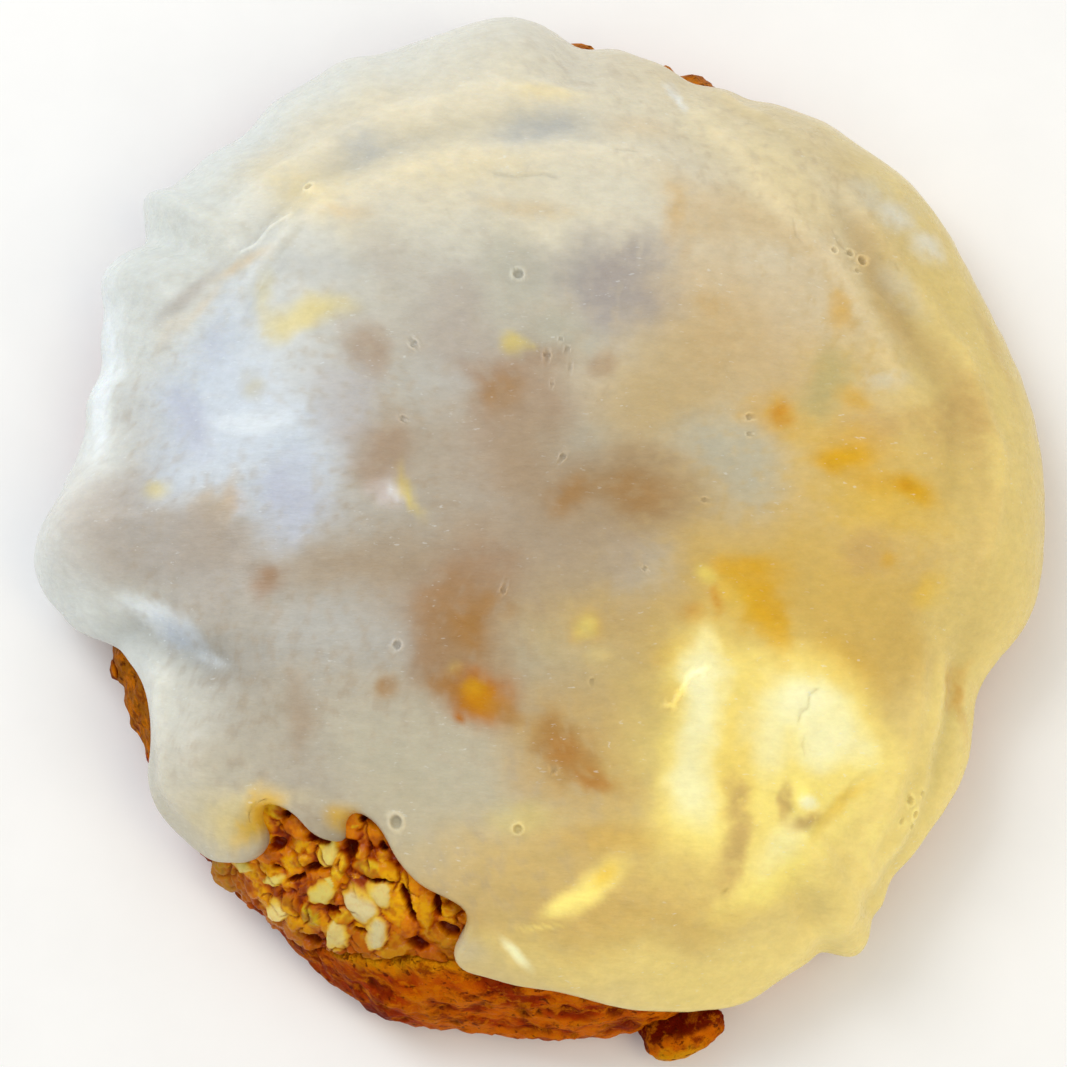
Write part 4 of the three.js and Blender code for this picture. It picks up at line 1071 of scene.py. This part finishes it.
def crumbs():
    """The open crumb: nuggets of oat and nut grown together, with hollows between them that are painted dark as their
    shade.
    """
    bm = bmesh.new()
    bmesh.ops.create_grid(bm, x_segments=CRUMB_ACROSS, y_segments=CRUMB_DOWN, size=0.5)
    spots = places(bm)
    at = CRUMB_FROM + (CRUMB_TO - CRUMB_FROM) * (0.5 + spots[:, 0])
    foot = crumb_foot(at) + 1.2
    walk = foot + (CRUMB_START - foot) * (0.5 + spots[:, 1])
    flat = flat_of(at, walk)
    rough = [rippled(flat, 0.75, 57 + i, 3) for i in range(2)]
    ruffled = flat + wobbled(flat, 51) * 0.2 + 0.16 * np.stack(rough, axis=-1)
    draw = random.Random(CRUMB_SEED)
    bed = rippled(flat, 1.5, 61, 4)
    height = CRUMB_BED + CRUMB_BED_RISES * bed
    top = height.copy()
    light, bare = np.zeros(len(flat)), np.ones(len(flat))
    tints = np.tile(seen(CRUMB_TINTS["orange"]), (len(flat), 1))
    for *oval, tall, tint in all_nuggets(draw):
        rise = nugget(ruffled, oval, tall, draw)
        over = rise > height
        height = np.where(over, rise, height)
        top = np.where(over, tall, top)
        pale = tint in PALE_CRUMBS
        light[over], bare[over] = pale, 0.0 if pale else 0.45
        tints[over] = seen(CRUMB_TINTS[tint]) * draw.uniform(0.85, 1.1)
    grain = rippled(flat, 0.7, 63, 4)
    height += CRUMB_GRAIN * grain
    for hollow in HOLLOWS:
        height -= HOLLOW_DEPTH * (1 - smooth(in_oval(ruffled, *hollow), 0.65, 1.25))
    below = top - height
    crack = np.exp(-(rippled(ruffled, 2.2, 69, 2) / 0.05) ** 2) * smooth(rippled(flat, 3.0, 71, 2), -0.15, 0.2)
    height -= CRACK_DEPTH * crack
    # Painted shade: down each nugget's sides, below its top, the tint turns amber, rust and maroon, and yellow on the
    # pale nuggets; the cracks turn rust, and the hollows and lowest places maroon and near black. The grain's amber
    # and rust are the crumb's own uneven colour, and the bed is gold where it rises and rust to maroon where it
    # sinks.
    for tint, share in (
            ("gold", 0.9 * bare * smooth(bed, 0.05, 0.35)), ("rust", 0.9 * bare * smooth(-bed, -0.05, 0.25)),
            ("maroon", 0.9 * bare * smooth(-bed, 0.15, 0.45)), ("rust", 0.9 * crack),
            ("amber", 0.5 * smooth(grain, 0.0, 0.5) * (1 - light)),
            ("rust", 0.5 * smooth(-grain, 0.15, 0.55) * (1 - light)),
            ("yellow", 0.85 * smooth(below + 0.15 * grain, 0.03, 0.26) * light),
            ("amber", 0.6 * smooth(below, 0.08, 0.35) * (1 - 0.6 * light)), ("rust", 0.95 * smooth(below, 0.22, 0.5)),
            ("maroon", 0.9 * smooth(below, 0.38, 0.7)),
            ("brown", 0.7 * smooth(walk, foot - 5.0, foot - 2.2) * smooth(bed, -0.5, 0.1) * (1 - light)),
            ("maroon", 0.9 * smooth(-height, 0.7, 1.2)), ("shaded", 0.8 * smooth(-height, 1.3, 2.0))):
        stain(tints, CRUMB_TINTS[tint], share)
    sink = smooth(walk, foot - 1.3, foot) + 1 - smooth(at, CRUMB_FROM, CRUMB_FROM + 2.0)
    sink = np.clip(sink + smooth(at, CRUMB_TO - 2.0, CRUMB_TO), 0, 1)
    height -= CRUMB_SINKS * sink
    move(bm, baked(at, walk, height) * MM)
    rim = [edge for edge in bm.edges if edge.is_boundary]
    lower = bmesh.ops.extrude_edge_only(bm, edges=rim)["geom"]
    bm.verts.index_update()
    count = len(at)
    for vert in lower:
        if isinstance(vert, bmesh.types.BMVert):
            link = next(edge.other_vert(vert) for edge in vert.link_edges if edge.other_vert(vert).index < count)
            vert.co = Vector(baked(at[link.index], walk[link.index], CRUMB_BOTTOM)) * MM
    base = bmesh.ops.contextual_create(bm, geom=[part for part in lower if isinstance(part, bmesh.types.BMEdge)])
    bmesh.ops.triangulate(bm, faces=base["faces"])
    tints = np.vstack((tints, np.tile(seen(CRUMB_TINTS["shaded"]), (len(bm.verts) - count, 1))))
    finished("crumbs", bm, moist_crumb(), tints)


def flakes(material):
    """Oat flakes baked into the side, low round the foot."""
    heap = Heap(FLAKE_SEED)
    draw = heap.draw
    # The toasted tint is painted shade on each flake's underside.
    shaded = seen(CRUST_TINTS["toasted"])
    for i in range(FLAKE_COUNT):
        at = NEAR_TO + (360 - NEAR_TO + NEAR_FROM) * i / FLAKE_COUNT + draw.uniform(-2, 2)
        walk = draw.uniform(*FLAKE_WALKS)
        size = draw.uniform(0.5, 1.1)
        tint = seen(CRUST_TINTS[draw.choice(("crust", "crust", "golden", "left"))])
        sizes = (size, size * draw.uniform(0.5, 0.8), size * draw.uniform(0.28, 0.42))
        spot = baked(at, walk, draw.uniform(-0.35, -0.1) + bumps(at, CRUST_SWELLS))
        spot[2] = max(spot[2], size)
        heap.add(spot, surface_axes(at, walk, at + 90 + draw.uniform(-40, 40)), sizes, tint, shaded, 2)
    heap.piece("oat_flakes", material)


def lump(material):
    """The lip of dough that has run out at the near foot, dark above and yellow at its outer edge."""
    heap = Heap(LUMP_SEED)
    turn = math.radians(LUMP_AT)
    out = np.array((math.cos(turn), math.sin(turn), 0))
    side = np.array((-math.sin(turn), math.cos(turn), 0))
    up = np.array((0, 0, 1.0))
    middle = np.array((*MIDDLE, 0)) + out * LUMP_OUT + up * LUMP_UP
    lean = math.radians(LUMP_TURN)
    along = side * math.cos(lean) + up * math.sin(lean)
    # The toasted tint is painted shade on the lump's underside.
    tint, shaded = seen(CRUST_TINTS["crust"]), seen(CRUST_TINTS["toasted"])
    heap.add(middle, (along, np.cross(up, along), up), LUMP_SIZES, tint, shaded, 5, LUMP_SIDES)
    away = heap.spots[0] - middle
    outward, sideways = away @ out, away @ side
    blotch = rippled(away, 1.2, 45, 3)
    for tint, share in (
            ("tawny", smooth(outward, -0.4, 0.6)), ("maroon", 0.9 * smooth(-outward - 0.4 * blotch, -0.9, -0.1)),
            ("lip", 0.9 * smooth(outward - away[:, 2] * 0.5 + blotch, 0.6, 1.2) * smooth(-sideways, -1.8, 0.0))):
        stain(heap.tints[0], CRUST_TINTS[tint], share)
    heap.piece("near_lump", material)


# ---- Camera, lights and floor ----

CAMERA_TARGET = Vector((-0.8, -1.9, 8.0)) * MM
CAMERA_DISTANCE = 240 * MM
CAMERA_ELEVATION = math.radians(75)
PIXELS_A_MM = 13.4
IMAGE_SIZE = 1067
SENSOR = 36.0
ROOM_COLOUR = (0.97, 0.985, 1.0, 1)
ROOM_LIGHT = 0.60
LIGHTS = (  # name, towards, distance, width, height, power, colour
    ("cool window", (-0.298, 0.361, 0.884), 0.5, 0.18, 0.22, 0.25, (0.80, 0.90, 1.0)),
    ("warm window", (0.352, -0.147, 0.925), 0.5, 0.13, 0.16, 0.16, (1.0, 0.80, 0.40)),
    ("skylight", (-0.52, 0.42, 0.74), 0.8, 0.4, 0.4, 2.0, (0.98, 0.99, 1.0)),
    ("warm wall", (0.62, -0.42, 0.66), 0.8, 0.5, 0.5, 1.3, (1.0, 0.86, 0.6)),
)
FLOOR_HALF = 0.9


def camera():
    lens = bpy.data.cameras.new("camera")
    lens.sensor_width = SENSOR
    lens.lens = PIXELS_A_MM * CAMERA_DISTANCE / MM * SENSOR / IMAGE_SIZE
    lens.clip_start = 0.01
    lens.clip_end = 10
    view = bpy.data.objects.new("camera", lens)
    back = Vector((0, -math.cos(CAMERA_ELEVATION), math.sin(CAMERA_ELEVATION)))
    view.location = CAMERA_TARGET + back * CAMERA_DISTANCE
    view.rotation_euler = back.to_track_quat("Z", "Y").to_euler()
    bpy.context.scene.collection.objects.link(view)
    bpy.context.scene.camera = view


def soft_box(name, towards, distance, width, height, power, colour):
    """An area light towards that direction from the cookie, facing it."""
    light = bpy.data.lights.new(name, "AREA")
    light.shape = "RECTANGLE"
    light.size = width
    light.size_y = height
    light.energy = power
    light.color = colour
    box = bpy.data.objects.new(name, light)
    heading = Vector(towards).normalized()
    box.location = heading * distance
    box.rotation_euler = heading.to_track_quat("Z", "Y").to_euler()
    bpy.context.scene.collection.objects.link(box)


def studio():
    scene = bpy.context.scene
    scene.view_settings.view_transform = "Standard"
    world = bpy.data.worlds.new("white room")
    world.use_nodes = True
    backdrop = world.node_tree.nodes["Background"]
    backdrop.inputs["Color"].default_value = ROOM_COLOUR
    backdrop.inputs["Strength"].default_value = ROOM_LIGHT
    scene.world = world
    for light in LIGHTS:
        soft_box(*light)


def floor():
    bm = bmesh.new()
    bmesh.ops.create_grid(bm, x_segments=8, y_segments=8, size=FLOOR_HALF)
    mesh = bpy.data.meshes.new("floor")
    bm.to_mesh(mesh)
    bm.free()
    mesh.materials.append(white_board())
    board = bpy.data.objects.new("floor", mesh)
    bpy.context.scene.collection.objects.link(board)


camera()
studio()
floor()
icing()
dough()
crumbs()
crust = bpy.data.materials["baked crust"]
flakes(crust)
lump(crust)
